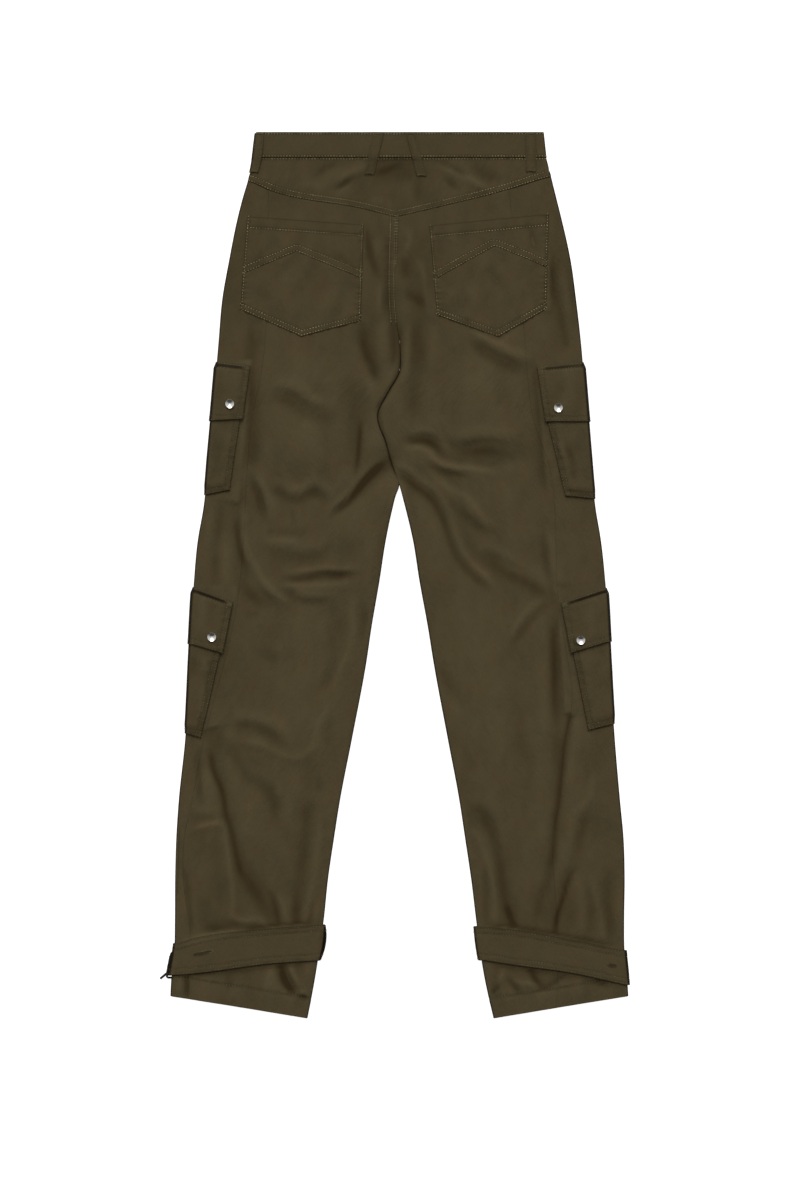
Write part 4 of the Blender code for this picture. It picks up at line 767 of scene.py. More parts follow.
def lay_reliefs(depth):
    """Lays all folds of the back, calm where something is sewn on, and those of the pockets."""
    for relief, slopes, folds in ((BACK_RELIEF, SLOPES, FOLDS), (POCKET_RELIEF, (), POCKET_FOLDS),
                                  (UNDER_RELIEF, (), UNDER_FOLDS)):
        relief.height[:] = 0.0
        for fold in slopes:
            relief.lay(smooth_line(fold.places), fold.height, fold.width, True)
        for fold in folds:
            relief.lay(smooth_line(fold.places), fold.height, fold.width)
        relief.height *= depth * table_curve(EASES, "down", "share")(relief.down)[:, None]
    across, down = np.meshgrid(BACK_RELIEF.across, BACK_RELIEF.down)
    left = across < centre_line(down)
    over, under = (np.where(left, calm(-1, across, down, run_out), calm(1, across, down, run_out))
                   for run_out in (9.0, 4.0))
    BACK_RELIEF.height *= np.where(BACK_RELIEF.height > 0.0, over, under)
    for ripple in BACK_RIPPLES:
        BACK_RELIEF.ripple(*ripple)
    for ripple in POCKET_RIPPLES:
        POCKET_RELIEF.ripple(*ripple)
    for relief in (BACK_RELIEF, POCKET_RELIEF, UNDER_RELIEF):
        relief.find_hollows()
    # The tones: bands of painted shade and painted light, partly also uneven fading.
    BACK_RELIEF.tone[:] = 0.0
    for tone in TONES:
        BACK_RELIEF.shade(smooth_line(tone.places), tone.height, tone.width)


def top_height(side, across, down):
    low = bottom_height(side, across, down)
    wanted = BODY_RISE + LIFT_SHOWS * low + BACK_RELIEF.read(across, down)
    return soft_maximum(wanted, low + LEAST_RISE)


# ---- places on the cloth -----------------------------------------------------------------------
def outer_place(side, way, down, off=0.0, slack=0.0, hug=1.0):
    """A place measured from the outer edge, round the fold, as (across, down, up)."""
    turn = np.clip(way / QUARTER, -1.0, 1.0) * 0.5 * math.pi
    beyond = np.maximum(np.abs(way) - QUARTER, 0.0)
    base = OUTER[side](down) - side * (ROLL + beyond)
    top, low = top_height(side, base, down), bottom_height(side, base, down)
    room = off + slack * np.cos(turn) * (1.0 + np.minimum(np.sin(turn), 0.0))
    across = base + side * (ROLL + hug * room) * np.cos(turn)
    up = 0.5 * (top + low) + (0.5 * (top - low) + room) * np.sin(turn)
    return np.stack(np.broadcast_arrays(across, down, up), axis=-1)


def inner_place(side, way, down, off=0.0, slack=0.0, front=False):
    """The same measured from the inner edge; above the crotch that edge is the flat centre seam."""
    facing = -1.0 if front else 1.0
    turn = np.clip(np.abs(way) / QUARTER, 0.0, 1.0) * 0.5 * math.pi
    beyond = np.maximum(np.abs(way) - QUARTER, 0.0)
    share = leg_share(down)
    across = inner_edge(side, down, front) + side * (ROLL * (1.0 - np.cos(turn)) + beyond)
    top, low = top_height(side, across, down), bottom_height(side, across, down)
    flat = low if front else top
    middle = 0.5 * (top + low)
    rounded = middle + (flat - middle) * np.sin(turn)
    out_across = -side * share * np.cos(turn)
    out_up = np.sin(turn) + (1.0 - share) * np.cos(turn)
    length = np.hypot(out_across, out_up)
    room = off + slack * np.cos(turn) * (1.0 + min(facing, 0.0) * np.sin(turn))
    up = flat + share * (rounded - flat) + facing * room * out_up / length
    return np.stack(np.broadcast_arrays(across + room * out_across / length, down, up), axis=-1)


def back_place(across, down, off):
    """A place on the flat of the back, anywhere between the outer edges."""
    left = across < centre_line(down)
    up = np.where(left, top_height(-1, across, down), top_height(1, across, down))
    return np.stack(np.broadcast_arrays(across, down, up + off), axis=-1)


# ---- lanes: where the lines of a piece's grid lie ----------------------------------------------
def edge_marks(insets, until=9.0):
    """Distances from a sewn edge that its rounding and its stitch rows need."""
    marks = {0.0, 0.45, 1.0, 1.8, 3.0}
    for inset in insets:
        marks |= {inset - 1.1, inset - 0.45, inset + 0.45, inset + 1.1}
    kept = [0.0]
    for mark in sorted(marks | {until}):
        if mark - kept[-1] > 0.28:
            between = int((mark - kept[-1]) / 4.0)
            kept += list(np.linspace(kept[-1], mark, between + 2)[1:])
    return np.array(kept)


def lanes(near, far, length, step):
    """Lines across a strip, each as a fixed part and a share of the strip's length."""
    count = max(int(round((length - near[-1] - far[-1]) / step)), 1)
    share = np.arange(1, count) / count
    fixed = np.concatenate([near, near[-1] * (1 - share) - far[-1] * share, -far[::-1]])
    shares = np.concatenate([np.zeros(len(near)), share, np.ones(len(far))])
    return fixed, shares


def at_lanes(lane, length):
    fixed, share = lane
    return fixed + share * length


def down_lanes(lane, length):
    """The same as a column, for a length that differs across the piece."""
    return at_lanes((lane[0][:, None], lane[1][:, None]), length)


# ---- shells ------------------------------------------------------------------------------------
Row = namedtuple("Row", "edge inset start end")
Row.__new__.__defaults__ = (0.0, 1.0)


def rows_at(edges, *insets):
    """The same rows of stitches beside several edges."""
    return tuple(Row(edge, inset) for edge in edges for inset in insets)


Shell = namedtuple("Shell", "name outer normal distances rows")
SHELLS = {}


def edge_distances(u, v):
    """Distances of every grid point from the four edges of its piece, along the cloth."""
    def upright(a, b):
        slant = np.hypot(np.gradient(a), np.gradient(b))
        return np.where(slant > 1e-6, np.abs(np.gradient(b)) / np.maximum(slant, 1e-6), 1.0)
    first, last = upright(u[:, 0], v[:, 0]), upright(u[:, -1], v[:, -1])
    top, bottom = upright(v[0], u[0]), upright(v[-1], u[-1])
    return {"first": np.abs(u - u[:, :1]) * first[:, None],
            "last": np.abs(u - u[:, -1:]) * last[:, None],
            "top": np.abs(v - v[:1]) * top[None], "bottom": np.abs(v - v[-1:]) * bottom[None]}


def grid_normals(points):
    """Unit normals of a grid of points, up on the back and down on the ground side."""
    normal = np.cross(np.gradient(points, axis=0), np.gradient(points, axis=1))
    normal /= np.maximum(np.linalg.norm(normal, axis=2, keepdims=True), 1e-9)
    outwards = (normal[..., 2] * (points[..., 2] - 0.7 * BODY_RISE)).sum()
    return normal if outwards > 0.0 else -normal


def within(share, row):
    return (share >= row.start - 0.004) & (share <= row.end + 0.004)


def gathers(place):
    """The uneven small waves that a seam draws into the cloth beside it."""
    return (np.sin(place * 0.83 + 1.7 * np.sin(place * 0.047)) * 0.6
            + np.sin(place * 0.51 + 2.3 * np.sin(place * 0.031) + 1.0) * 0.4)


GROOVE_DEEP, GROOVE_WIDE, GROOVE_SHADE_WIDE = 0.32, 0.75, 1.1
GATHER_WIDE = 7.0         # how far the small waves beside a row reach
DOUBLED = 0.16            # rise of the cloth that is doubled inside a seam


def hump(away, wide):
    return np.exp(-(away / wide)**2)


def pressed(distances, chart, rows, round_off, press):
    """How far sewing moves the face, and how much painted shade lies along its sewn edges and in
    its rows.
    """
    sewn = {row.edge for row in rows if row.inset < 4.0}
    move, shade = np.zeros(chart[0].shape), np.zeros(chart[0].shape)
    for edge, away in distances.items():
        reach, dark = (round_off, press.edge) if edge in sewn else (PLAIN_ROUND, 0.04)
        over = np.clip(1.0 - away / reach, 0.0, 1.0)
        move = np.minimum(move, -reach * (1.0 - np.sqrt(1.0 - over * over)))
        shade = np.maximum(shade, dark * hump(away, 1.0))
    along = {"top": distances["first"] / (distances["first"] + distances["last"] + 1e-9),
             "first": distances["top"] / (distances["top"] + distances["bottom"] + 1e-9)}
    along["bottom"], along["last"] = along["top"], along["first"]
    for row in rows:
        here = within(along[row.edge], row)
        away = distances[row.edge]
        place = chart[0] if row.edge in ("top", "bottom") else chart[1]
        beside = hump(away - row.inset, GATHER_WIDE) * here * press.gather
        move = move + beside * gathers(place + 37.0 * row.inset)
        groove = hump(away - row.inset, GROOVE_WIDE) * here
        seam_allowance = (1.0 - smooth_step(row.inset - 0.4, row.inset + 0.9, away)) * here
        move = move - GROOVE_DEEP * groove + DOUBLED * seam_allowance
        beside_groove = hump(away - row.inset, GROOVE_SHADE_WIDE) * here
        shade = np.maximum(shade, press.groove * beside_groove)
        shade = np.maximum(shade, press.band * seam_allowance)
    return move, shade


def declare_cloth(points, present):
    """Works out the cut of a piece, its longest row by its longest line and its own area, and keeps
    none of them.
    """
    wide = np.linalg.norm(np.diff(points, axis=1), axis=2).sum(axis=1).max() * MM
    long = np.linalg.norm(np.diff(points, axis=0), axis=2).sum(axis=0).max() * MM
    turned = np.cross(points[1:, 1:] - points[:-1, :-1], points[1:, :-1] - points[:-1, 1:])
    area = 0.5 * np.linalg.norm(turned, axis=2)[present].sum() * MM * MM
    area = min(max(area, 0.31 * wide * long), 0.995 * wide * long)


def close_seams(points):
    """Lets a piece reach a little nearer to its neighbours."""
    points = points.copy()
    for grid in (points, points.swapaxes(0, 1)):
        for edge, beside in ((0, 1), (-1, -2)):
            out = grid[edge] - grid[beside]
            length = np.linalg.norm(out, axis=1, keepdims=True)
            grid[edge] += out * SEAM_CLOSE / np.maximum(length, 0.05)
    return points


def hollow_at(name, points, normal):
    """How deep every place lies in the folds of its side, with the tones of TONES added; the
    cloth's colour gets painted shade from it where deep and painted light where high.
    """
    across, down = points[..., 0], points[..., 1]
    facing = smooth_step(-0.3, 0.3, normal[..., 2])
    low = UNDER_RELIEF.read(across, down, "hollow")
    tone = BACK_RELIEF.read(across, down, "tone")
    if name.startswith(("ankle_strap", "belt_loop", "waistband")):
        return facing * tone
    own = POCKET_RELIEF if name.startswith(("back_pocket", "cargo")) else BACK_RELIEF
    return facing * (own.read(across, down, "hollow") + tone) + (1.0 - facing) * low


def make_shell(name, points, chart, rows, look, wall=1.1, round_off=0.8, present=None,
               dark=0.0, press=PANEL_PRESS):
    """Builds one piece from its plain grid of points and registers it for the stitching."""
    u, v = chart
    points = close_seams(points)
    distances = edge_distances(u, v)
    if present is None:
        present = np.ones((len(points) - 1, points.shape[1] - 1), dtype=bool)
    normal = grid_normals(points)
    move, shade = pressed(distances, chart, rows, round_off, press)
    # Painted shade where the cloth turns to face sideways, and the painted shade given to the piece
    # as dark.
    aside = FOLD_EDGE * (1.0 - smooth_step(0.40, 0.98, np.abs(normal[..., 2])))
    shade = np.maximum(np.maximum(shade, dark), aside)
    outer = points + normal * move[..., None]
    outer[..., 2] = np.maximum(outer[..., 2], 0.0)
    inner = points + normal * (np.minimum(move, 0.0) * 0.6 - wall)[..., None]
    made = wall_object(name + "_cloth", outer, inner, chart, present,
                       {"shade": shade, "hollow": hollow_at(name, points, normal)})
    made.data.materials.append(look)
    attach(made, BODY)
    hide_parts(name)
    declare_cloth(points, present)
    SHELLS[name] = Shell(name, outer, normal, distances, rows)


def to_world(points):
    """Metres in the frame from (across, down, up) in millimetres."""
    moved = np.empty(points.shape)
    moved[..., 0] = (points[..., 0] - CENTRE_ACROSS) * MM
    moved[..., 1] = (CENTRE_DOWN - points[..., 1]) * MM
    moved[..., 2] = points[..., 2] * MM
    return moved


def put_in_scene(name, data):
    made = bpy.data.objects.new(name, data)
    bpy.context.scene.collection.objects.link(made)
    return made


def wall_object(name, outer, inner, chart, present, marks):
    """A closed wall between two like grids of points."""
    rows, columns = outer.shape[:2]
    count = rows * columns
    index = np.arange(count).reshape(rows, columns)
    ring = np.stack([index[:-1, :-1][present], index[:-1, 1:][present], index[1:, 1:][present],
                     index[1:, :-1][present]], axis=1)
    starts, ends = ring, np.roll(ring, -1, axis=1)
    forward = (starts * count + ends).ravel()
    backward = (ends * count + starts).ravel()
    rim = ~np.isin(forward, backward)
    a, b = starts.ravel()[rim], ends.ravel()[rim]
    faces = np.concatenate([ring, ring[:, ::-1] + count,
                            np.stack([b, a, a + count, b + count], axis=1)])
    points = np.concatenate([to_world(outer).reshape(-1, 3), to_world(inner).reshape(-1, 3)])
    corner = points[faces]
    turned = np.cross(corner[:, 2] - corner[:, 0], corner[:, 3] - corner[:, 1])
    if (turned * corner.mean(axis=1)).sum() < 0.0:
        faces = faces[:, ::-1]
    used, faces = np.unique(faces, return_inverse=True)
    faces = faces.reshape(-1, 4)
    mesh = bpy.data.meshes.new(name)
    mesh.vertices.add(len(used))
    mesh.vertices.foreach_set("co", points[used].astype(np.float32).ravel())
    mesh.loops.add(faces.size)
    mesh.loops.foreach_set("vertex_index", faces.ravel().astype(np.int32))
    mesh.polygons.add(len(faces))
    mesh.polygons.foreach_set("loop_start", np.arange(0, faces.size, 4, dtype=np.int32))
    mesh.update(calc_edges=True)
    mesh.validate()
    place = np.stack([chart[0].ravel(), -chart[1].ravel()], axis=1) * 0.01
    place = np.concatenate([place, place])[used]
    weave = mesh.uv_layers.new(name="weave")
    weave.data.foreach_set("uv", place[faces.ravel()].astype(np.float32).ravel())
    for mark, values in marks.items():
        values = np.concatenate([values.ravel(), values.ravel()])[used].astype(np.float32)
        mesh.attributes.new(mark, "FLOAT", "POINT").data.foreach_set("value", values)
    mesh.shade_smooth()
    mesh.set_sharp_from_angle(angle=math.radians(55))
    return put_in_scene(name, mesh)


# ---- the rows of the body ----------------------------------------------------------------------
def yoke_edge(side):
    """Where the yoke seam meets the outer edge."""
    down = 62.0
    for _ in range(6):
        down = float(YOKE[side](OUTER[side](down)))
    return down


def row_down(side, share, station, lean):
    """Down at a share of the way in; rows lean to the yoke seam above and to the hem below."""
    down = station + HEM_SKEW * share * smooth_step(HEM_LEVEL, HEM_DOWN, station)
    edge = yoke_edge(side)
    seam = np.full(np.shape(share), edge)
    for _ in range(4):
        across = OUTER[side](seam) + (inner_edge(side, seam) - OUTER[side](seam)) * share
        seam = YOKE[side](across)
    fade = lean * (1.0 - smooth_step(edge, YOKE_LEVEL, station))
    return down + (seam + 0.5 * SEAM_GAP - edge) * fade


def share_in(side, across, down, front):
    edge = OUTER[side](down)
    return (across - edge) / (inner_edge(side, down, front) - edge)


def panel_grid(side, stations, ways_at, place, front):
    """Places of a panel's grid: each line keeps its way while its row leans with its place."""
    station = stations[:, None]
    ways = ways_at(station)
    down = np.broadcast_to(station, ways.shape).copy()
    for _ in range(7):
        ways = ways_at(down)
        points = place(ways, down)
        share = np.clip(share_in(side, points[..., 0], down, front), 0.0, 1.0)
        down = row_down(side, share, station, np.where(ways > 0, 1.0, 0.0) if not front else 0.0)
    return ways, down, place(ways, down)


def leg_lanes(top_marks, length, step):
    """Places down a leg from its topmost row to the hem."""
    return at_lanes(lanes(top_marks, edge_marks((HEM_ROW,), HEM_CALM), length, step), length)


def back_panel(side, look, step):
    name = COLUMN[side]
    insets = (1.6, 8.6) if side < 0 else (3.2,)
    seam_rows = tuple(Row("last", inset, 0.0, 0.130 if side < 0 else 0.06) for inset in insets)
    rows = (Row("bottom", HEM_ROW), *seam_rows)
    first = yoke_edge(side)
    across = lanes(edge_marks(()), edge_marks(insets), 240.0, step)
    stations = first + leg_lanes(edge_marks(()), HEM_DOWN - first, step)

    def ways_at(down):
        wide = np.abs(BACK_SEAM[side](down) - inner_edge(side, down)) - ROLL - 0.5 * SEAM_GAP
        length = QUARTER - EDGE_WAY + wide
        return EDGE_WAY + length - at_lanes(across, length)
    ways, down, points = panel_grid(side, stations, ways_at,
                                    lambda way, at: inner_place(side, way, at), False)
    # The centre seam sinks into a narrow crease above the crotch, and the same crease is given
    # painted shade along the seam.
    crease = (np.exp(-((ways - ways[:, -1:]) / 1.3)**2) * smooth_step(240.0, 330.0, down)
              * (1.0 - smooth_step(462.0, 480.0, down)))
    points[..., 2] -= 0.9 * crease
    make_shell(f"back_panel_{name}", points, (-ways, down), rows, look,
               dark=1.7 * crease)


def side_panel(side, look, step):
    """From the back seam round the outer edge to the front seam on the ground side."""
    name = COLUMN[side]
    first, waist = yoke_edge(side), WAISTBAND_DEEP + SEAM_GAP
    above = np.linspace(waist, first, 9)[:-1]
    below = first + leg_lanes(edge_marks((NEAR_ROW, FELL_ROW)), HEM_DOWN - first, step)
    top = lanes(edge_marks(()), np.array([0.0]), 60.0, step)
    under = lanes(np.array([0.0]), edge_marks((NEAR_ROW,)), 110.0, 2.0 * step)

    def ways_at(down):
        back = (np.abs(OUTER[side](down) - BACK_SEAM[side](down)) - ROLL - 0.5 * SEAM_GAP)
        front = FRONT_INSET[side](down) - ROLL - 0.5 * SEAM_GAP
        if np.shape(down)[1] > 1:
            split = len(top[0])
            back, front = back[:, :split], front[:, split + len(ROLL_WAYS):]
        return np.concatenate([QUARTER + back - at_lanes(top, back),
                               np.broadcast_to(ROLL_WAYS, (len(down), len(ROLL_WAYS))),
                               -QUARTER - at_lanes(under, front)], axis=1)

    def place(way, down):
        return outer_place(side, way, down)
    ways, down, points = panel_grid(side, below, ways_at, place, False)
    folded = len(top[0]) + len(ROLL_WAYS) // 2
    flap = np.minimum(ways[:1], -EDGE_WAY)
    flap = np.repeat(flap, len(above), axis=0)
    level = np.repeat(above[:, None], ways.shape[1], axis=1)
    points = np.concatenate([place(flap, level), points])
    chart = np.concatenate([flap, ways]), np.concatenate([level, down])
    present = np.ones((len(points) - 1, points.shape[1] - 1), dtype=bool)
    present[:len(above), :folded] = False
    rows = (Row("bottom", HEM_ROW), Row("last", NEAR_ROW))
    make_shell(f"side_panel_{name}", points, (-chart[0], chart[1]), rows, look,
               present=present)


def front_panel(side, look, step):
    name = COLUMN[side]
    waist = WAISTBAND_DEEP + SEAM_GAP
    across = lanes(edge_marks(()), edge_marks((3.2,)), 110.0, 2.0 * step)
    stations = waist + leg_lanes(edge_marks((NEAR_ROW,)), HEM_DOWN - waist, 1.7 * step)

    def ways_at(down):
        seam = OUTER[side](down) - side * FRONT_INSET[side](down)
        wide = np.abs(seam - inner_edge(side, down, True)) - ROLL - 0.5 * SEAM_GAP
        length = QUARTER - EDGE_WAY + wide
        return -(EDGE_WAY + length - at_lanes(across, length))
    ways, down, points = panel_grid(
        side, stations, ways_at, lambda way, at: inner_place(side, way, at, front=True), True)
    rows = (Row("bottom", HEM_ROW), Row("last", 3.2, 0.0, 0.34))
    make_shell(f"front_panel_{name}", points, (ways, down), rows, look)


# ---- yoke and waistband ------------------------------------------------------------------------
def waist_length(down):
    return OUTER[1](down) - OUTER[-1](down) - 2.0 * ROLL + 2.0 * QUARTER


def waist_place(along, down, off=0.0):
    """Places from the left fold of the waist across the back to the right fold."""
    length = waist_length(down)
    left = outer_place(-1, along, down, off)
    right = outer_place(1, length - along, down, off)
    return np.where((along < 0.5 * length)[..., None], left, right)


def yoke(look, step):
    """The shaped piece between the waistband and both back panels."""
    first = WAISTBAND_DEEP + SEAM_GAP
    lane = lanes(edge_marks(()), edge_marks(()), 400.0, step)
    rise = lanes(edge_marks((NEAR_ROW,)), edge_marks((1.4, 5.6)), 45.0, 0.7 * step)
    down = np.full((len(rise[0]), len(lane[0])), 50.0)
    for _ in range(5):
        along = EDGE_WAY + at_lanes(lane, waist_length(down) - 2.0 * EDGE_WAY)
        across = waist_place(along, down)[..., 0]
        seam = np.where(across < INNER[-1](down), YOKE[-1](across), YOKE[1](across))
        down = first + down_lanes(rise, seam - 0.5 * SEAM_GAP - first)
    points = waist_place(along, down)
    rows = (Row("top", NEAR_ROW), Row("bottom", 1.4), Row("bottom", FELL_ROW))
    make_shell("yoke", points, (along, down), rows, look, press=YOKE_PRESS)


def band_down(lane, top_row, step):
    """Down over the grid of a waistband piece."""
    rise = lanes(edge_marks((top_row,), 4.0), edge_marks((1.8,), 4.0), WAISTBAND_DEEP, step)
    return np.repeat(at_lanes(rise, WAISTBAND_DEEP)[:, None], len(lane[0]), axis=1)


def waistband_back(look, step):
    lane = lanes(edge_marks(()), edge_marks(()), 380.0, step)
    down = band_down(lane, 2.2, step)
    along = EDGE_WAY + at_lanes(lane, waist_length(down) - 2.0 * EDGE_WAY)
    points = waist_place(along, down, 0.5)
    make_shell("waistband_back", points, (along, down), (Row("top", 2.4), Row("bottom", 1.8)),
               look, wall=1.9,
               press=WAIST_PRESS)


def waistband_front(side, look, step):
    name = COLUMN[side]
    lane = lanes(edge_marks(()), edge_marks((2.0,)), 190.0, 1.6 * step)
    down = band_down(lane, 2.4, step)
    wide = np.abs(FRONT_CENTRE - OUTER[side](down)) - ROLL - 0.5 * SEAM_GAP + QUARTER
    way = -(EDGE_WAY + at_lanes(lane, wide - EDGE_WAY))
    points = outer_place(side, way, down)
    make_shell(f"waistband_front_{name}", points, (way, down),
               (Row("top", 2.4), Row("bottom", 1.8), Row("last", 2.2)), look, wall=1.9,
               press=WAIST_PRESS)


# ---- back pockets ------------------------------------------------------------------------------
def between(a, b, part):
    return a[0] + (b[0] - a[0]) * part, a[1] + (b[1] - a[1]) * part


def pocket_line(pocket, level, part):
    """A line across a back pocket: top, chevron or bottom, by the part of its width."""
    outer_low = between(pocket.low_left, pocket.tip, part / 0.5)
    inner_low = between(pocket.tip, pocket.low_right, part / 0.5 - 1.0)
    low = tuple(np.where(part < 0.5, a, b) for a, b in zip(outer_low, inner_low))
    high = between(pocket.top_left, pocket.top_right, part)
    if level == "top":
        return high
    if level == "bottom":
        return low
    apex = CHEVRON_APEX[pocket.name]
    end = np.where(part < apex, pocket.ends[0], pocket.ends[1])
    aside = np.abs(part - apex) / np.where(part < apex, apex, 1.0 - apex)
    down = pocket.peak + (end - pocket.peak) * np.sqrt(aside * aside + 0.0004)
    return high[0] + (low[0] - high[0]) * (down - high[1]) / (low[1] - high[1]), down


def back_pocket(pocket, level, look, step):
    """One of the two pieces of a pocket, above or below its chevron seam."""
    upper = level == "upper"
    first, last = ("top", "chevron") if upper else ("chevron", "bottom")
    wide = pocket.top_right[0] - pocket.top_left[0]
    side_rows = rows_at(("first", "last"), NEAR_ROW)
    if upper:
        rows = (Row("top", 14.0, 0.01, 0.99), Row("bottom", 1.2), Row("bottom", 8.2)) + side_rows
    else:
        rows = rows_at(("bottom",), NEAR_ROW, FELL_ROW) + side_rows
    half = lanes(edge_marks((NEAR_ROW, FELL_ROW)), np.array([0.0, 1.2]), 0.5 * wide, step)
    part = at_lanes(half, 0.5 * wide) / wide
    part = np.concatenate([part, 1.0 - part[-2::-1]])[None]
    a, b = pocket_line(pocket, first, part), pocket_line(pocket, last, part)
    tall = b[1] - a[1] - 0.5 * SEAM_GAP
    top_marks = edge_marks((14.0,), 18.0) if upper else edge_marks(())
    fall = lanes(top_marks, edge_marks((1.4, 7.0)), 65.0 if upper else 85.0, step)
    share = (down_lanes(fall, tall) + (0.0 if upper else 0.5 * SEAM_GAP)) / (b[1] - a[1])
    across, down = a[0] + (b[0] - a[0]) * share, a[1] + (b[1] - a[1]) * share
    middle = np.minimum(np.minimum(part, 1.0 - part) * wide, 40.0) / 40.0
    from_bottom = pocket_line(pocket, "bottom", part)[1] - down
    crown = 0.7 * smooth_step(0.05, 1.0, middle) * smooth_step(4.0, 40.0, from_bottom)
    lift = 0.8 + crown + POCKET_RELIEF.read(across, down) * smooth_step(0.1, 0.4, middle)
    points = back_place(across, down, lift)
    name = f"back_pocket_{pocket.name}_{level}"
    # Painted shade along the top of the upper piece, at the pocket's mouth.
    mouth = 0.7 * np.exp(-((down - down[:1]) / 1.0)**2) if upper else 0.0
    make_shell(name, points, (across, down), rows, look, wall=0.65, round_off=0.6, dark=mouth,
               press=BACK_POCKET_PRESS)


# ---- cargo pockets -----------------------------------------------------------------------------
def inset_of(way):
    """How far in from the outer edge a way reaches; negative on the ground side."""
    return (np.clip(way / QUARTER, -1.0, 1.0) * ROLL
            + np.sign(way) * np.maximum(np.abs(way) - QUARTER, 0.0))


def reach_at(pocket, down):
    upper = (down - pocket.flap_top) / (pocket.flap_end - pocket.flap_top)
    lower = (down - pocket.flap_end) / (pocket.bottom - pocket.flap_end)
    return np.where(down < pocket.flap_end,
                    pocket.reach_flap + (pocket.reach_end - pocket.reach_flap) * upper,
                    pocket.reach_end + (pocket.reach_bottom - pocket.reach_end) * lower)


def puff(pocket, way, down):
    """How far a pocket stands off its panel: nothing at its sewn edges and on the ground."""
    inset = inset_of(way)
    bottom = pocket.bottom + pocket.bottom_lean * inset
    from_edge = (smooth_step(0.0, 12.0, reach_at(pocket, down) - inset)
                 * smooth_step(0.0, 14.0, bottom - down))
    return POCKET_PUFF * from_edge * smooth_step(-QUARTER, 0.3 * QUARTER, way)


def pocket_grid(pocket, first_at, last_at, reach_more, marks_top, marks_low, step):
    """Ways and downs of a flap or pocket, from its back edge round to its front edge."""
    under = pocket.under + max(reach_more, 0.0)
    tall = float(last_at(0.0) - first_at(0.0))
    fall = lanes(marks_top, marks_low, tall, step)
    on_back = lanes(edge_marks((NEAR_ROW, FAR_ROW)), np.array([0.0]), 45.0, step)
    beneath = lanes(np.array([0.0]), edge_marks((NEAR_ROW, FAR_ROW)), under, 1.8 * step)
    tail = -QUARTER - at_lanes(beneath, under - ROLL)
    down = np.full((len(fall[0]), 1), 0.5 * (first_at(0.0) + last_at(0.0)))
    down = np.repeat(down, len(on_back[0]) + len(ROLL_WAYS) + len(tail), axis=1)
    for _ in range(6):
        back = reach_at(pocket, down[:, :len(on_back[0])]) + reach_more - ROLL
        ways = np.concatenate([QUARTER + back - at_lanes(on_back, back),
                               np.broadcast_to(np.concatenate([ROLL_WAYS, tail]),
                                               (len(down), len(ROLL_WAYS) + len(tail)))], axis=1)
        inset = inset_of(ways)
        first, last = first_at(inset), last_at(inset)
        down = first + down_lanes(fall, last - first)
    return ways, down, (down - first) / (last - first)


def cargo_pocket(pocket, look, step):
    ways, down, _ = pocket_grid(
        pocket, lambda inset: pocket.flap_top + POCKET_MOUTH + pocket.flap_lean * inset,
        lambda inset: pocket.bottom + pocket.bottom_lean * inset,
        -1.0, edge_marks((), 3.0), edge_marks((NEAR_ROW, FAR_ROW)), step)
    across = OUTER[pocket.side](down) - pocket.side * inset_of(ways)
    own = POCKET_RELIEF.read(across, down) * smooth_step(-1.0, QUARTER, ways)
    full = puff(pocket, ways, down)
    lift = BAG_GAP + CLOTH + full + own * smooth_step(0.1, 0.7, full / POCKET_PUFF)
    points = outer_place(pocket.side, ways, down, lift, hug=HUG)
    name = f"cargo_pocket_{pocket.name}"
    rows = rows_at(("first", "bottom", "last"), NEAR_ROW, FAR_ROW)
    make_shell(name, points, (-ways, down), rows, look, round_off=1.2, press=CARGO_PRESS)


def flap_lift(pocket, way, down, part):
    """A flap lies on the panel along its top and on its pocket below."""
    on_pocket = 2.0 * BAG_GAP + CLOTH + 1.05 * puff(pocket, way, down)
    return BAG_GAP + (on_pocket - BAG_GAP) * smooth_step(0.0, 0.12, part)


def cargo_flap(pocket, look, step):
    ways, down, part = pocket_grid(
        pocket, lambda inset: pocket.flap_top + pocket.flap_lean * inset,
        lambda inset: pocket.flap_end + pocket.end_lean * inset,
        2.0, edge_marks((NEAR_ROW, FAR_ROW)), edge_marks((NEAR_ROW, FAR_ROW)), step)
    lift = CLOTH + flap_lift(pocket, ways, down, part)
    across = OUTER[pocket.side](down) - pocket.side * inset_of(ways)
    lift = lift + POCKET_RELIEF.read(across, down) * smooth_step(-1.0, QUARTER, ways) * 0.7
    points = outer_place(pocket.side, ways, down, lift, hug=HUG)
    name = f"cargo_flap_{pocket.name}"
    rows = rows_at(("first", "bottom", "last", "top"), NEAR_ROW, FAR_ROW)
    make_shell(name, points, (-ways, down), rows, look, round_off=1.3, press=CARGO_PRESS)


# ---- straps ------------------------------------------------------------------------------------
def strap_downs(side, across, fall):
    top, bottom = STRAP_TOP[side](across), STRAP_BOTTOM[side](across)
    return top + down_lanes(fall, bottom - top)


def strap_slack(zone, side, down):
    """Slack over the width of a strap, as a parabola through its three given values."""
    part = (down - down[:1]) / (down[-1:] - down[:1])
    top, middle, bottom = STRAP_SLACK[zone, side]
    bulge = 4.0 * (middle - 0.5 * (top + bottom)) * part * (1.0 - part)
    return top + (bottom - top) * part + bulge


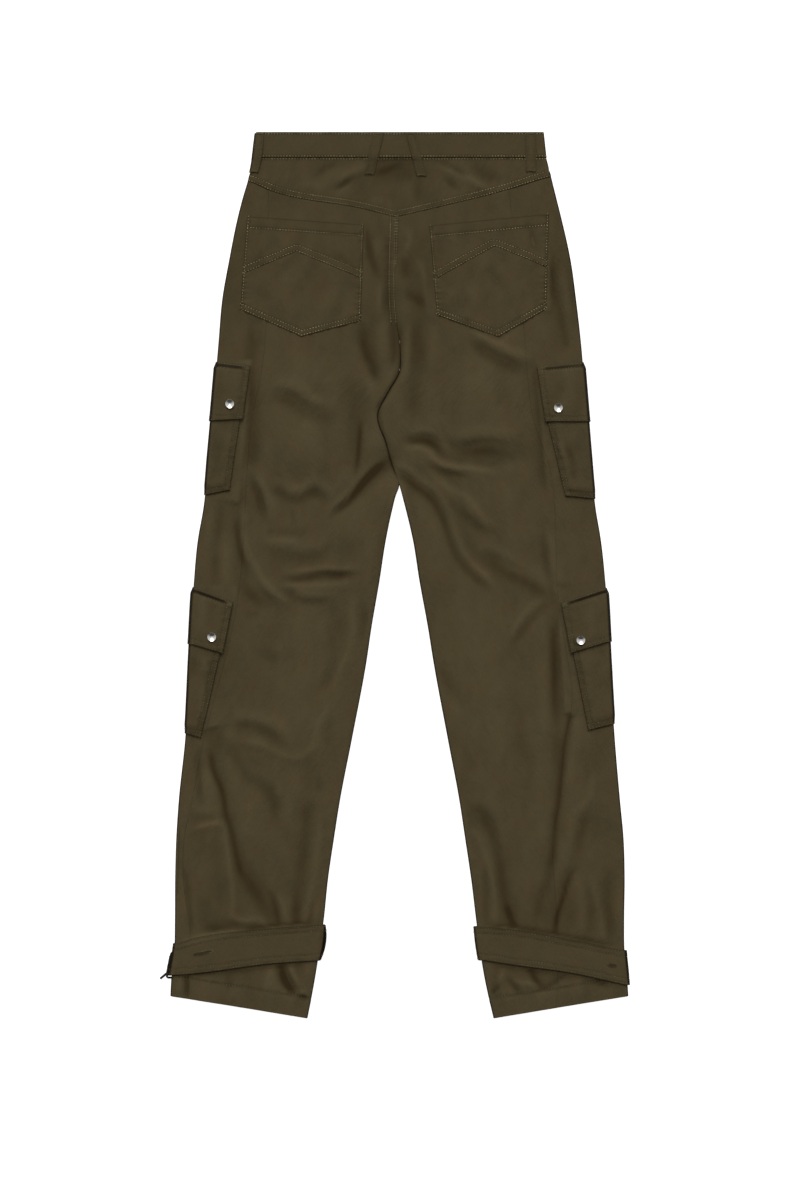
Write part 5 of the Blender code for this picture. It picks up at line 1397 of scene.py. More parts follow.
def ankle_strap_back(side, look, step):
    """From the inner edge across the back and round the outer edge."""
    name = f"ankle_strap_back_{COLUMN[side]}"
    lane = lanes(edge_marks(()), edge_marks((2.0,)), 205.0, step)
    fall = lanes(edge_marks(STRAP_ROWS), edge_marks(STRAP_ROWS), 46.0, step)
    end = STRAP_END_IN[side]
    down = np.full((len(fall[0]), len(lane[0])), 1060.0)
    for _ in range(5):
        start_across, end_across = inner_edge(side, down), OUTER[side](down)
        flat = np.abs(end_across - start_across) - 2.0 * ROLL
        length = flat + 3.0 * QUARTER + end - ROLL
        along = EDGE_WAY + at_lanes(lane, length - EDGE_WAY)
        inset = np.clip(along - QUARTER, 0.0, flat)
        across = start_across + side * (ROLL + inset)
        down = strap_downs(side, across, fall)
    off = 0.4 + 1.6
    from_inner = inner_place(side, along, down, off, strap_slack("inner", side, down))
    from_outer = outer_place(side, flat + 2.0 * QUARTER - along, down, off,
                             strap_slack("outer", side, down))
    points = np.where((along < 0.5 * length)[..., None], from_inner, from_outer)
    rows = rows_at(("top", "bottom"), *STRAP_ROWS) + rows_at(("last",), STRAP_ROWS[0])
    # Painted shade on the end of the strap that turns round the inner edge of the leg, strongest on
    # the left strap.
    turned = (3.0 if side < 0 else 0.7) * (1.0 - smooth_step(1.9, 3.1, along))
    make_shell(name, points, (along, down), rows, look, wall=1.5, round_off=0.9,
               press=STRAP_PRESS, dark=turned)


def ankle_strap_front(side, look, step):
    name = f"ankle_strap_front_{COLUMN[side]}"
    fall = lanes(edge_marks(STRAP_ROWS), edge_marks(STRAP_ROWS), 46.0, step)
    lane = lanes(edge_marks(()), edge_marks((2.0,)), 170.0, 1.8 * step)
    down = np.full((len(fall[0]), len(lane[0])), 1060.0)
    for _ in range(5):
        start_across = inner_edge(side, down)
        flat = np.abs(OUTER[side](down) - start_across) - ROLL - STRAP_START_IN[side]
        along = EDGE_WAY + at_lanes(lane, QUARTER - EDGE_WAY + flat)
        across = start_across + side * (ROLL + np.maximum(along - QUARTER, 0.0))
        down = strap_downs(side, across, fall)
    points = inner_place(side, along, down, 2.0, strap_slack("inner", side, down), front=True)
    rows = rows_at(("top", "bottom"), *STRAP_ROWS) + rows_at(("last",), STRAP_ROWS[0])
    make_shell(name, points, (along, down), rows, look, wall=1.5, round_off=0.9,
               press=STRAP_PRESS)


# ---- belt loops --------------------------------------------------------------------------------
LOOP_ROWS = rows_at(("first", "last"), 2.2)


def loop_lines(tall, wide, step):
    """Places of a loop's lines down its length and over its width."""
    fall = at_lanes(lanes(edge_marks((2.0,)), edge_marks((2.0,)), tall, step), tall)
    beside = edge_marks((2.2,), 3.6)
    return fall[:, None], at_lanes(lanes(beside, beside, wide, 2.0), wide)[None]


def loop_over(down):
    """How much a loop is lifted by the waistband under it."""
    return 0.5 * (1.0 - smooth_step(WAISTBAND_DEEP - 6, WAISTBAND_DEEP + 14, down))


def belt_loop(loop, front, look, step):
    """A narrow strip sewn down at both ends, bowed out between them."""
    name = f"belt_loop_{loop.name}"
    tall = loop.end[1] - loop.start[1]
    fall, wide = loop_lines(tall, LOOP_WIDE, step)
    part, shift = fall / tall, wide - 0.5 * LOOP_WIDE
    across, down = np.broadcast_arrays(loop.start[0] + (loop.end[0] - loop.start[0]) * part + shift,
                                       loop.start[1] + tall * part)
    if front:
        side = -1 if loop.start[0] < 0 else 1
        points = np.stack([across, down, bottom_height(side, across, down) - 1.7], axis=-1)
    else:
        bow = 0.4 * LOOP_BOW * np.sin(math.pi * part)
        points = back_place(across, down, 1.3 + loop_over(down) + bow)
    make_shell(name, points, (across, down), LOOP_ROWS, look, wall=0.7, round_off=0.6,
               press=LOOP_PRESS)


def side_loop_left(look, step):
    """The loop that lies along the left fold of the waist and turns down with it."""
    name = "belt_loop_side_left"
    tall, first = 51.0, 1.5
    fall, wide = loop_lines(tall, 11.3, step)
    way, down = np.broadcast_arrays(QUARTER * 20.0 / 90.0 + wide, first + fall)
    lift = 1.8 + loop_over(down) + LOOP_BOW * np.sin(math.pi * (down - first) / tall)
    points = outer_place(-1, way, down, lift)
    make_shell(name, points, (way, down), LOOP_ROWS, look, wall=1.1, round_off=0.7,
               press=LOOP_PRESS)


# ---- stitch lines ------------------------------------------------------------------------------
Line = namedtuple("Line", "points ups")
RUN, SATIN = "run", "satin"
THREAD_RISE = 0.16        # how far the middle of a thread lies above the cloth
TACK_PITCH, TACK_LENGTH = 0.0008, 0.0021  # of the dense stitches of a bar, in metres
LINES = {}


def keep_line(group, kind, points, ups):
    """Files a line of stitches, in metres, under the object that will carry it."""
    world = to_world(points)
    world[..., 2] = np.maximum(world[..., 2], 0.0003)
    up = np.stack([ups[..., 0], -ups[..., 1], ups[..., 2]], axis=-1)
    LINES.setdefault((group, kind), []).append(Line(world, up))


def row_line(name, row):
    """The places and normals of a stitch row, read between the lines of the piece's grid."""
    shell = SHELLS[name]
    pair = ("first", "last") if row.edge in ("top", "bottom") else ("top", "bottom")
    along = shell.distances[pair[0]] / (shell.distances[pair[0]] + shell.distances[pair[1]] + 1e-9)
    away, points, normals = shell.distances[row.edge], shell.outer, shell.normal
    if row.edge in ("top", "bottom"):
        away, along = away.T, along.T
        points, normals = points.transpose(1, 0, 2), normals.transpose(1, 0, 2)
    if row.edge in ("last", "bottom"):
        away, along, points, normals = (grid[:, ::-1] for grid in (away, along, points, normals))
    k = np.arange(len(away))
    i = np.clip((away < row.inset).sum(axis=1) - 1, 0, away.shape[1] - 2)
    t = (row.inset - away[k, i]) / np.maximum(away[k, i + 1] - away[k, i], 1e-6)
    share = along[k, i]
    held = (share >= row.start) & (share <= row.end)
    t = t[:, None]
    up = normals[k, i] * (1 - t) + normals[k, i + 1] * t
    line = points[k, i] * (1 - t) + points[k, i + 1] * t + THREAD_RISE * up
    return line[held], up[held]


def sew_piece(name, group):
    """Sews the rows of one piece; the centre seam of the back is an object of its own."""
    for row in SHELLS[name].rows:
        felled = name.startswith("back_panel") and row.edge == "last"
        keep_line("centre_seam" if felled else group, RUN, *row_line(name, row))


def tack(name, group, row):
    """A short dense bar of stitches along part of a row."""
    keep_line(group, SATIN, *row_line(name, row))


def front_line(side, places, group):
    """A row sewn through the front, which lies on the ground."""
    line = smooth_line(places, 12)
    up = bottom_height(side, line[:, 0], line[:, 1])
    points = np.stack([line[:, 0], line[:, 1], up], axis=-1)
    keep_line(group, RUN, points, np.tile((0.0, 0.0, -1.0), (len(points), 1)))


def line_mesh(name, lines):
    """One mesh of open lines with the way up stored on its points."""
    points = np.concatenate([line.points for line in lines])
    ups = np.concatenate([line.ups for line in lines])
    edges, first = [], 0
    for line in lines:
        count = len(line.points)
        index = np.arange(first, first + count)
        edges.append(np.stack([index[:-1], index[1:]], axis=1))
        first += count
    edges = np.concatenate(edges)
    mesh = bpy.data.meshes.new(name)
    mesh.from_pydata(points.tolist(), edges.tolist(), [])
    mesh.attributes.new("up", "FLOAT_VECTOR", "POINT").data.foreach_set(
        "vector", ups.astype(np.float32).ravel())
    return mesh


# ---- stitches as geometry nodes ----------------------------------------------------------------
STITCH_INPUTS = ("Pitch", "Length", "Thickness", "Turn", "Thread")


def stitch_tree(thread):
    """Sets one small rounded thread after another along every line."""
    tree = bpy.data.node_groups.new("stitches_along_lines", "GeometryNodeTree")
    face = tree.interface
    face.new_socket("Lines", in_out="INPUT", socket_type="NodeSocketGeometry")
    for label, default in (("Pitch", 0.0032), ("Length", 0.0026), ("Thickness", 0.0005),
                           ("Turn", 0.0)):
        socket = face.new_socket(label, in_out="INPUT", socket_type="NodeSocketFloat")
        socket.default_value = default
    socket = face.new_socket("Thread", in_out="INPUT", socket_type="NodeSocketMaterial")
    socket.default_value = thread
    face.new_socket("Stitches", in_out="OUTPUT", socket_type="NodeSocketGeometry")

    def node(kind, **settings):
        made = tree.nodes.new(kind)
        for key, value in settings.items():
            setattr(made, key, value)
        return made
    given, result = node("NodeGroupInput"), node("NodeGroupOutput")
    curve = node("GeometryNodeMeshToCurve")
    even = node("GeometryNodeResampleCurve", mode="LENGTH")
    ball = node("GeometryNodeMeshUVSphere")
    ball.inputs["Segments"].default_value = 6
    ball.inputs["Rings"].default_value = 4
    ball.inputs["Radius"].default_value = 0.5
    size = node("ShaderNodeCombineXYZ")
    shaped = node("GeometryNodeTransform")
    tangent = node("GeometryNodeInputTangent")
    up = node("GeometryNodeInputNamedAttribute", data_type="FLOAT_VECTOR")
    up.inputs["Name"].default_value = "up"
    along = node("FunctionNodeAlignRotationToVector", axis="X")
    upright = node("FunctionNodeAlignRotationToVector", axis="Z", pivot_axis="X")
    turn = node("FunctionNodeAxisAngleToRotation")
    turned = node("FunctionNodeRotateRotation", rotation_space="LOCAL")
    placed = node("GeometryNodeInstanceOnPoints")
    real = node("GeometryNodeRealizeInstances")
    smooth = node("GeometryNodeSetShadeSmooth")
    dyed = node("GeometryNodeSetMaterial")
    for source, output, target, socket_name in (
            (given, "Lines", curve, "Mesh"), (curve, "Curve", even, "Curve"),
            (given, "Pitch", even, "Length"), (given, "Length", size, "X"),
            (given, "Thickness", size, "Y"), (given, "Thickness", size, "Z"),
            (ball, "Mesh", shaped, "Geometry"), (size, "Vector", shaped, "Scale"),
            (tangent, "Tangent", along, "Vector"), (along, "Rotation", upright, "Rotation"),
            (up, "Attribute", upright, "Vector"), (given, "Turn", turn, "Angle"),
            (upright, "Rotation", turned, "Rotation"), (turn, "Rotation", turned, "Rotate By"),
            (even, "Curve", placed, "Points"), (shaped, "Geometry", placed, "Instance"),
            (turned, "Rotation", placed, "Rotation"), (placed, "Instances", real, "Geometry"),
            (real, "Geometry", smooth, "Geometry"), (smooth, "Geometry", dyed, "Geometry"),
            (given, "Thread", dyed, "Material"), (dyed, "Geometry", result, "Stitches")):
        tree.links.new(source.outputs[output], target.inputs[socket_name])
    return tree


def sew(name, lines, thread, pitch, length, thickness, turn=0.0):
    """Turns lines into stitches and keeps them as one plain mesh."""
    carrier = put_in_scene(name + "_lines", line_mesh(name + "_lines", lines))
    tree = bpy.data.node_groups.get("stitches_along_lines") or stitch_tree(thread)
    modifier = carrier.modifiers.new("stitches", "NODES")
    modifier.node_group = tree
    values = dict(zip(STITCH_INPUTS, (pitch, length, thickness, turn, thread)))
    for item in tree.interface.items_tree:
        if item.item_type == "SOCKET" and item.in_out == "INPUT" and item.name in values:
            modifier[item.identifier] = values[item.name]
    graph = bpy.context.evaluated_depsgraph_get()
    mesh = bpy.data.meshes.new_from_object(carrier.evaluated_get(graph), depsgraph=graph)
    bpy.data.objects.remove(carrier, do_unlink=True)
    if not len(mesh.polygons):
        raise RuntimeError(f"{name}: no stitches were made")
    mesh.name = name
    if "up" in mesh.attributes:
        mesh.attributes.remove(mesh.attributes["up"])
    made = put_in_scene(name, mesh)
    if thread.name not in mesh.materials:
        mesh.materials.clear()
        mesh.materials.append(thread)
    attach(made, BODY)
    return made


# ---- materials ---------------------------------------------------------------------------------
class Paint:
    """A material's node tree, written as a row of short steps."""

    def __init__(self, name):
        self.material = bpy.data.materials.new(name)
        self.material.use_nodes = True
        self.tree = self.material.node_tree
        self.tree.nodes.clear()
        self.shader = self.node("BsdfPrincipled", {})
        self.node("OutputMaterial", {"Surface": self.shader.outputs["BSDF"]})

    def node(self, kind, inputs, **settings):
        """A new node; an input takes a value or what another node gives, and None leaves it."""
        made = self.tree.nodes.new("ShaderNode" + kind)
        for key, value in settings.items():
            setattr(made, key, value)
        self.fill(made, inputs)
        return made

    def fill(self, node, inputs):
        for key, value in inputs.items():
            if isinstance(value, bpy.types.NodeSocket):
                self.tree.links.new(value, node.inputs[key])
            elif value is not None:
                node.inputs[key].default_value = value

    def dress(self, **inputs):
        """Fills the shader's inputs, named with _ for a space, and gives the material."""
        self.fill(self.shader, {key.replace("_", " "): value for key, value in inputs.items()})
        return self.material

    def math(self, operation, a, b=None, c=None, clamp=False):
        return self.node("Math", {0: a, 1: b, 2: c}, operation=operation,
                         use_clamp=clamp).outputs[0]

    def mapped(self, place, stretch):
        return self.node("Mapping", {"Vector": place, "Scale": stretch}).outputs["Vector"]

    def weave_map(self, stretch=(1.0, 1.0, 1.0)):
        return self.mapped(self.node("UVMap", {}, uv_map="weave").outputs["UV"], stretch)

    def object_map(self, stretch=(1.0, 1.0, 1.0)):
        return self.mapped(self.node("TexCoord", {}).outputs["Object"], stretch)

    def noise(self, place, scale, detail, roughness=0.55):
        return self.node("TexNoise", {"Scale": scale, "Detail": detail, "Roughness": roughness,
                                      "Vector": place}).outputs["Fac"]

    def attribute(self, name):
        return self.node("Attribute", {}, attribute_name=name).outputs["Fac"]

    def twill_lines(self, place, pitch_u, pitch_v):
        """Diagonal ridges: 0 between two yarns and 1 on top of one."""
        split = self.node("SeparateXYZ", {0: place})
        turns = self.math("ADD", self.math("MULTIPLY", split.outputs[0], 2 * math.pi / pitch_u),
                          self.math("MULTIPLY", split.outputs[1], 2 * math.pi / pitch_v))
        return self.math("MULTIPLY_ADD", self.math("SINE", turns), 0.5, 0.5)

    def mix_colour(self, share, a, b):
        return self.node("Mix", {0: share, 6: a, 7: b}, data_type="RGBA").outputs[2]

    def scale_colour(self, colour, gain):
        return self.node("VectorMath", {0: colour, "Scale": gain}, operation="SCALE").outputs[0]

    def deepen(self, colour, share, channels):
        """Takes a share from a colour, more from one channel than from another."""
        kept = self.node("CombineXYZ", {i: self.math("MULTIPLY_ADD", share, -channel, 1.0)
                                        for i, channel in enumerate(channels)})
        return self.node("VectorMath", {0: colour, 1: kept.outputs[0]},
                         operation="MULTIPLY").outputs[0]

    def bump(self, height, strength, distance, under=None):
        return self.node("Bump", {"Strength": strength, "Distance": distance, "Height": height,
                                  "Normal": under}).outputs["Normal"]


def rgba(colour, *gains):
    """An opaque colour, with one gain for all of its channels or one for each."""
    gains = gains * 3 if len(gains) < 3 else gains
    return (*(min(channel * gain, 1.0) for channel, gain in zip(colour, gains or (1.0,) * 3)), 1.0)


def twill(name, colour, yarn, seam_dark, fold_dark):
    """Dry cotton twill: diagonal ridges and slubs down the warp, with painted shade in the hollows
    of its folds and in its seams, and painted light on the ridges of its folds.
    """
    paint = Paint(name)
    flat = paint.weave_map()
    ridges = paint.twill_lines(flat, yarn, yarn * 1.6)
    slubs = paint.noise(paint.weave_map((60.0, 2.2, 1.0)), 3.0, 4.0, 0.6)
    fine = paint.noise(paint.weave_map((1.0, 0.35, 1.0)), 260.0, 2.0, 0.7)
    clouds = paint.noise(flat, 2.1, 4.0, 0.62)
    seam = paint.attribute("shade")
    patches = paint.noise(paint.weave_map((1.0, 0.6, 1.0)), 4.5, 3.0, 0.5)
    hue = paint.mix_colour(paint.math("MULTIPLY_ADD", patches, 2.6, -0.8, clamp=True),
                           rgba(colour, 1.09, 0.97, 0.915), rgba(colour, 0.92, 1.03, 1.075))
    mottle = paint.noise(paint.weave_map((1.0, 0.4, 1.0)), 42.0, 4.0, 0.68)
    faded = paint.scale_colour(hue, paint.math("MULTIPLY_ADD", clouds, 0.34, 0.83))
    worn = paint.scale_colour(faded, paint.math("MULTIPLY_ADD", mottle, 0.34, 0.83))
    streaked = paint.mix_colour(paint.math("MULTIPLY_ADD", slubs, 1.8, -0.4, clamp=True), worn,
                                rgba(colour, 1.17, 1.16, 1.10))
    yarns = paint.mix_colour(paint.math("MULTIPLY", ridges, 0.28), streaked, rgba(colour, 1.35))
    # Painted shade in the grooves of the rows and along the sewn edges, from the shade attribute.
    sewn = paint.mix_colour(paint.math("MULTIPLY", seam, seam_dark), yarns,
                            rgba(colour, 0.16, 0.14, 0.11))
    # Painted shade in the hollows of the folds and painted light on their ridges, from the hollow
    # attribute, which also carries the painted tones.
    depth = paint.math("MAXIMUM", paint.math("MINIMUM", paint.math(
        "MULTIPLY", paint.attribute("hollow"), fold_dark), 0.60), -0.18)
    low = paint.bump(ridges, 0.35, 0.00025)
    crumple = paint.noise(paint.weave_map((1.0, 0.45, 1.0)), 9.0, 5.0, 0.6)
    low = paint.bump(crumple, 0.6, 0.0026, low)
    low = paint.bump(mottle, 0.5, 0.0011, low)
    nap = paint.bump(fine, 0.30, 0.00022, low)
    return paint.dress(Base_Color=paint.deepen(sewn, depth, (0.88, 1.0, 1.14)),
                       Roughness=paint.math("MULTIPLY_ADD", fine, 0.12, 0.82), Sheen_Weight=0.02,
                       Sheen_Roughness=0.5, Specular_IOR_Level=0.05,
                       Normal=paint.bump(slubs, 0.25, 0.0004, nap))


def thread_look(name, colour):
    """Twisted sewing thread, a shade lighter than the cloth."""
    paint = Paint(name)
    twist = paint.noise(paint.object_map(), 2600.0, 1.0)
    worn = paint.math("MULTIPLY_ADD", paint.noise(paint.object_map(), 70.0, 3.0), 3.4, -1.10,
                      clamp=True)
    bright = paint.mix_colour(twist, rgba(colour, 0.85), rgba(colour, 1.25))
    return paint.dress(Base_Color=paint.mix_colour(worn, rgba(colour, 0.30), bright),
                       Roughness=paint.math("MULTIPLY_ADD", twist, 0.2, 0.5),
                       Specular_IOR_Level=0.10, Normal=paint.bump(twist, 0.4, 0.0002))


def plated(name, colour, roughness, wear, metallic=1.0, shine=0.5):
    """Plated metal with fine scratches and slightly duller patches."""
    paint = Paint(name)
    patches = paint.noise(paint.object_map(), 420.0, 4.0)
    scratches = paint.noise(paint.object_map((1.0, 7.0, 1.0)), 1500.0, 2.0)
    dull = paint.math("MULTIPLY", patches, scratches)
    return paint.dress(Base_Color=paint.mix_colour(paint.math("MULTIPLY", patches, 0.6),
                                                   rgba(colour), rgba(colour, wear)),
                       Metallic=metallic, Specular_IOR_Level=shine,
                       Roughness=paint.math("MULTIPLY_ADD", dull, 0.30, roughness),
                       Normal=paint.bump(scratches, 0.08, 0.00008))


def painted_slit_shadow(name, colour):
    """The shaded inside of a buttonhole."""
    paint = Paint(name)
    fuzz = paint.noise(paint.object_map(), 1400.0, 3.0)
    return paint.dress(Base_Color=paint.mix_colour(fuzz, rgba(colour, 0.5), rgba(colour, 1.4)),
                       Roughness=paint.math("MULTIPLY_ADD", fuzz, 0.1, 0.88),
                       Specular_IOR_Level=0.05, Normal=paint.bump(fuzz, 0.5, 0.0003))


def floor_look(name, tone, glow):
    """Matt paper with a hardly seen grain, lit from below like a light table."""
    paint = Paint(name)
    grain, grey = paint.noise(paint.object_map(), 90.0, 3.0), (tone, tone, tone)
    return paint.dress(Base_Color=paint.mix_colour(grain, rgba(grey, 0.985), rgba(grey)),
                       Roughness=0.9, Specular_IOR_Level=0.1, Emission_Strength=glow,
                       Emission_Color=(1.0, 1.0, 1.0, 1.0))


# ---- snaps, button and buckles -----------------------------------------------------------------
def turned_part(name, centre, profile, up, sides, look):
    """A round part from (radius, height) pairs in millimetres, closed at its pole."""
    mesh = bmesh.new()
    rings = []
    for radius, height in profile:
        z = centre[2] + up * height * MM
        if radius == 0.0:
            rings.append([mesh.verts.new((centre[0], centre[1], z))])
            continue
        turn = [2.0 * math.pi * i / sides for i in range(sides)]
        rings.append([mesh.verts.new((centre[0] + radius * MM * math.cos(angle),
                                      centre[1] + radius * MM * math.sin(angle), z))
                      for angle in turn])
    for low, high in zip(rings, rings[1:]):
        for i in range(sides):
            j = (i + 1) % sides
            ring = [low[i % len(low)], low[j % len(low)], high[j % len(high)], high[i % len(high)]]
            mesh.faces.new(list(dict.fromkeys(ring)))
    return finish_metal(name, mesh, look)


def finish_metal(name, mesh, look):
    bmesh.ops.recalc_face_normals(mesh, faces=mesh.faces)
    data = bpy.data.meshes.new(name)
    mesh.to_mesh(data)
    mesh.free()
    data.shade_smooth()
    data.set_sharp_from_angle(angle=math.radians(50))
    data.materials.append(look)
    made = put_in_scene(name + "_metal", data)
    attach(made, BODY)
    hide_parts(name)
    return made


CAP_PROFILE = (
    (0.0, 0.0), (0.95, 0.0), (0.99, 0.10), (1.0, 0.28), (0.985, 0.46), (0.95, 0.64),
    (0.92, 0.84), (0.90, 0.95), (0.88, 1.0), (0.86, 0.99), (0.83, 0.94), (0.66, 0.74),
    (0.49, 0.54), (0.32, 0.34), (0.20, 0.20), (0.14, 0.18), (0.08, 0.24), (0.0, 0.26),
)
BUTTON_PROFILE = (
    (0.0, 0.0), (0.92, 0.0), (0.985, 0.10), (1.0, 0.35), (0.99, 0.70), (0.955, 0.93), (0.90, 1.0),
    (0.84, 0.93), (0.80, 0.74), (0.55, 0.70), (0.44, 0.72), (0.40, 0.88), (0.30, 0.93), (0.0, 0.93),
)


def seated(node):
    """Centre of a round node's seat, its radius and its height."""
    low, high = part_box(node)
    centre = (0.5 * (low[0] + high[0]), 0.5 * (low[1] + high[1]))
    return centre, 0.5 * (high[0] - low[0]) / MM, (high[2] - low[2]) / MM, low[2], high[2]


def snap(node, look):
    """A pressed cap: a rolled rim round a dished face."""
    centre, radius, tall, low, high = seated(node)
    up, seat = (1.0, low) if node.endswith("_back") else (-1.0, high)
    profile = [(r * radius, h * tall) for r, h in CAP_PROFILE]
    turned_part(node, (*centre, seat), profile, up, 48, look)


def waist_button(look):
    """A shank button with a raised rim, on the ground side."""
    centre, radius, tall, _, high = seated("waist_button")
    profile = [(r * radius, h * tall) for r, h in BUTTON_PROFILE]
    turned_part("waist_button", (*centre, high), profile, -1.0, 56, look)


def bar_along(mesh, path, half_wide, half_tall, closed=True, sides=10):
    """A rounded bar along a flat path of (across, down, up) places."""
    count = len(path)
    rings = []
    for i, place in enumerate(path):
        before = path[i - 1] if closed or i else path[i]
        after = path[(i + 1) % count] if closed or i < count - 1 else path[i]
        heading = np.array([after[0] - before[0], after[1] - before[1]])
        heading = heading / np.linalg.norm(heading)
        beside = np.array([-heading[1], heading[0]])
        ring = []
        for k in range(sides):
            turn = 2.0 * math.pi * k / sides
            out, up = half_wide * math.cos(turn), half_tall * math.sin(turn)
            point = np.array([place[0] + beside[0] * out, place[1] + beside[1] * out,
                              place[2] + up])
            ring.append(mesh.verts.new(tuple(to_world(point))))
        rings.append(ring)
    last = count if closed else count - 1
    for i in range(last):
        a, b = rings[i], rings[(i + 1) % count]
        for k in range(sides):
            m = (k + 1) % sides
            mesh.faces.new((a[k], a[m], b[m], b[k]))
    if not closed:
        mesh.faces.new(rings[0])
        mesh.faces.new(rings[-1])


def rounded_corners(corners, radius):
    """A closed flat path through corners that are rounded off."""
    path, steps = [], 5
    for i, corner in enumerate(corners):
        corner = np.array(corner, dtype=float)
        before = np.array(corners[i - 1], dtype=float) - corner
        after = np.array(corners[(i + 1) % len(corners)], dtype=float) - corner
        a = corner + before / np.linalg.norm(before) * radius
        b = corner + after / np.linalg.norm(after) * radius
        for k in range(steps + 1):
            t = k / steps
            path.append((1 - t)**2 * a + 2 * t * (1 - t) * corner + t**2 * b)
    return path


def ankle_buckle(side, look):
    """A flat frame with its bar, roller and prong, closed between the two ends of a strap."""
    name = f"ankle_buckle_{COLUMN[side]}"
    low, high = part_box(name)
    left, right = low[0] / MM + CENTRE_ACROSS, high[0] / MM + CENTRE_ACROSS
    top, bottom = CENTRE_DOWN - high[1] / MM, CENTRE_DOWN - low[1] / MM
    half, tip = 1.35, 4.5
    tall = 0.5 * (high[2] - low[2]) / MM
    left_in, right_in = (left + tip, right) if side < 0 else (left, right - tip)
    lean, heel, drop = (9.0, 2.6, 17.0) if side < 0 else (0.0, 0.0, 0.0)
    corners = [(left_in + half + lean, top + half + drop, tall),
               (right_in - half, top + half + drop, tall),
               (right_in - half, bottom - half - 1.2, tall),
               (left_in + half + heel, bottom - half - 1.2, tall)]
    mesh = bmesh.new()
    bar_along(mesh, rounded_corners(corners, 3.2), half, tall)
    far = left_in if side < 0 else right_in
    upper, lower = (corners[0], corners[3]) if side < 0 else (corners[1], corners[2])
    upper, lower = np.array(upper), np.array(lower)
    bar_along(mesh, [upper + 0.15 * (lower - upper), upper + 0.85 * (lower - upper)], half + 0.5,
              tall, closed=False, sides=12)
    near = right_in - half if side < 0 else left_in + half
    middle = 0.5 * (top + bottom + drop)
    prong_tip = far + side * 1.0 + 0.5 * (lean + heel)
    bar_along(mesh, [(near, middle - 1.0, tall), (0.5 * (near + far), middle, tall * 0.95),
                     (prong_tip, middle + 1.5, tall)], 1.0, tall * 0.8, closed=False)
    bar_along(mesh, [(far - side * 8.0, bottom - half - 10.0, tall),
                     (far - side * 2.0, bottom - half - 5.0, tall),
                     (far + side * 4.2, bottom - half + 0.2, tall)], 1.5, tall * 0.75,
              closed=False)
    finish_metal(name, mesh, look)


# ---- buttonholes -------------------------------------------------------------------------------
Hole = namedtuple("Hole", "side start end")
HOLES = (Hole(-1, (-267.0, 1069.5), (-243.5, 1064.5)), Hole(1, (271.5, 1083.0), (279.5, 1084.0)))


def strap_face(side, across, down):
    """The face of an ankle strap on the back, and its normal."""
    outer = SHELLS[f"ankle_strap_back_{COLUMN[side]}"]
    flat = outer.outer[..., :2].reshape(-1, 2)
    nearest = np.argmin((flat[None, :, 0] - across[:, None])**2
                        + (flat[None, :, 1] - down[:, None])**2
                        + 1e6 * (outer.normal[..., 2].reshape(-1)[None] < 0.2), axis=1)
    return (outer.outer.reshape(-1, 3)[nearest, 2], outer.normal.reshape(-1, 3)[nearest])


def buttonholes(look):
    """A slit for each buttonhole, dark with painted shadow, edged with satin stitches."""
    mesh = bmesh.new()
    for hole in HOLES:
        start, end = np.array(hole.start), np.array(hole.end)
        along = (end - start) / np.linalg.norm(end - start)
        beside = np.array([-along[1], along[0]])
        share = np.linspace(0.0, 1.0, 13)
        middle = start + (end - start) * share[:, None]
        up, _ = strap_face(hole.side, middle[:, 0], middle[:, 1])
        half = 1.5 * np.sqrt(np.clip(np.sin(math.pi * share), 0.05, 1.0))
        rails = []
        for reach, lift in ((-1.0, 0.02), (0.0, 0.16), (1.0, 0.02)):
            place = middle + beside * (half * reach)[:, None]
            rails.append([mesh.verts.new(tuple(to_world(np.array([*at, height + lift]))))
                          for at, height in zip(place, up)])
        base = [mesh.verts.new(tuple(to_world(np.array([*at, height - 0.3]))))
                for at, height in zip(middle, up)]
        for i in range(len(middle) - 1):
            ring = (rails[0], rails[1], rails[2], base)
            for a, b in zip(ring, ring[1:] + ring[:1]):
                mesh.faces.new((a[i], a[i + 1], b[i + 1], b[i]))
        for i in (0, len(middle) - 1):
            mesh.faces.new([rail[i] for rail in rails] + [base[i]])
        rim = []
        for angle in np.linspace(0.0, 2.0 * math.pi, 49):
            spread = np.linalg.norm(end - start) * 0.5 + 1.2
            rim.append(0.5 * (start + end) + along * spread * math.cos(angle)
                       + beside * 2.1 * math.sin(angle))
        rim = np.array(rim)
        up, normal = strap_face(hole.side, rim[:, 0], rim[:, 1])
        keep_line("straps", SATIN, np.stack([rim[:, 0], rim[:, 1], up], axis=-1), normal)
    bmesh.ops.recalc_face_normals(mesh, faces=mesh.faces)
    data = bpy.data.meshes.new("buttonhole_slits")
    mesh.to_mesh(data)
    mesh.free()
    data.materials.append(look)
    made = put_in_scene("buttonhole_slits", data)
    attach(made, BODY)


# ---- settings ----------------------------------------------------------------------------------
COLOUR = {"subtype": "COLOR", "size": 3, "min": 0.0, "max": 1.0}


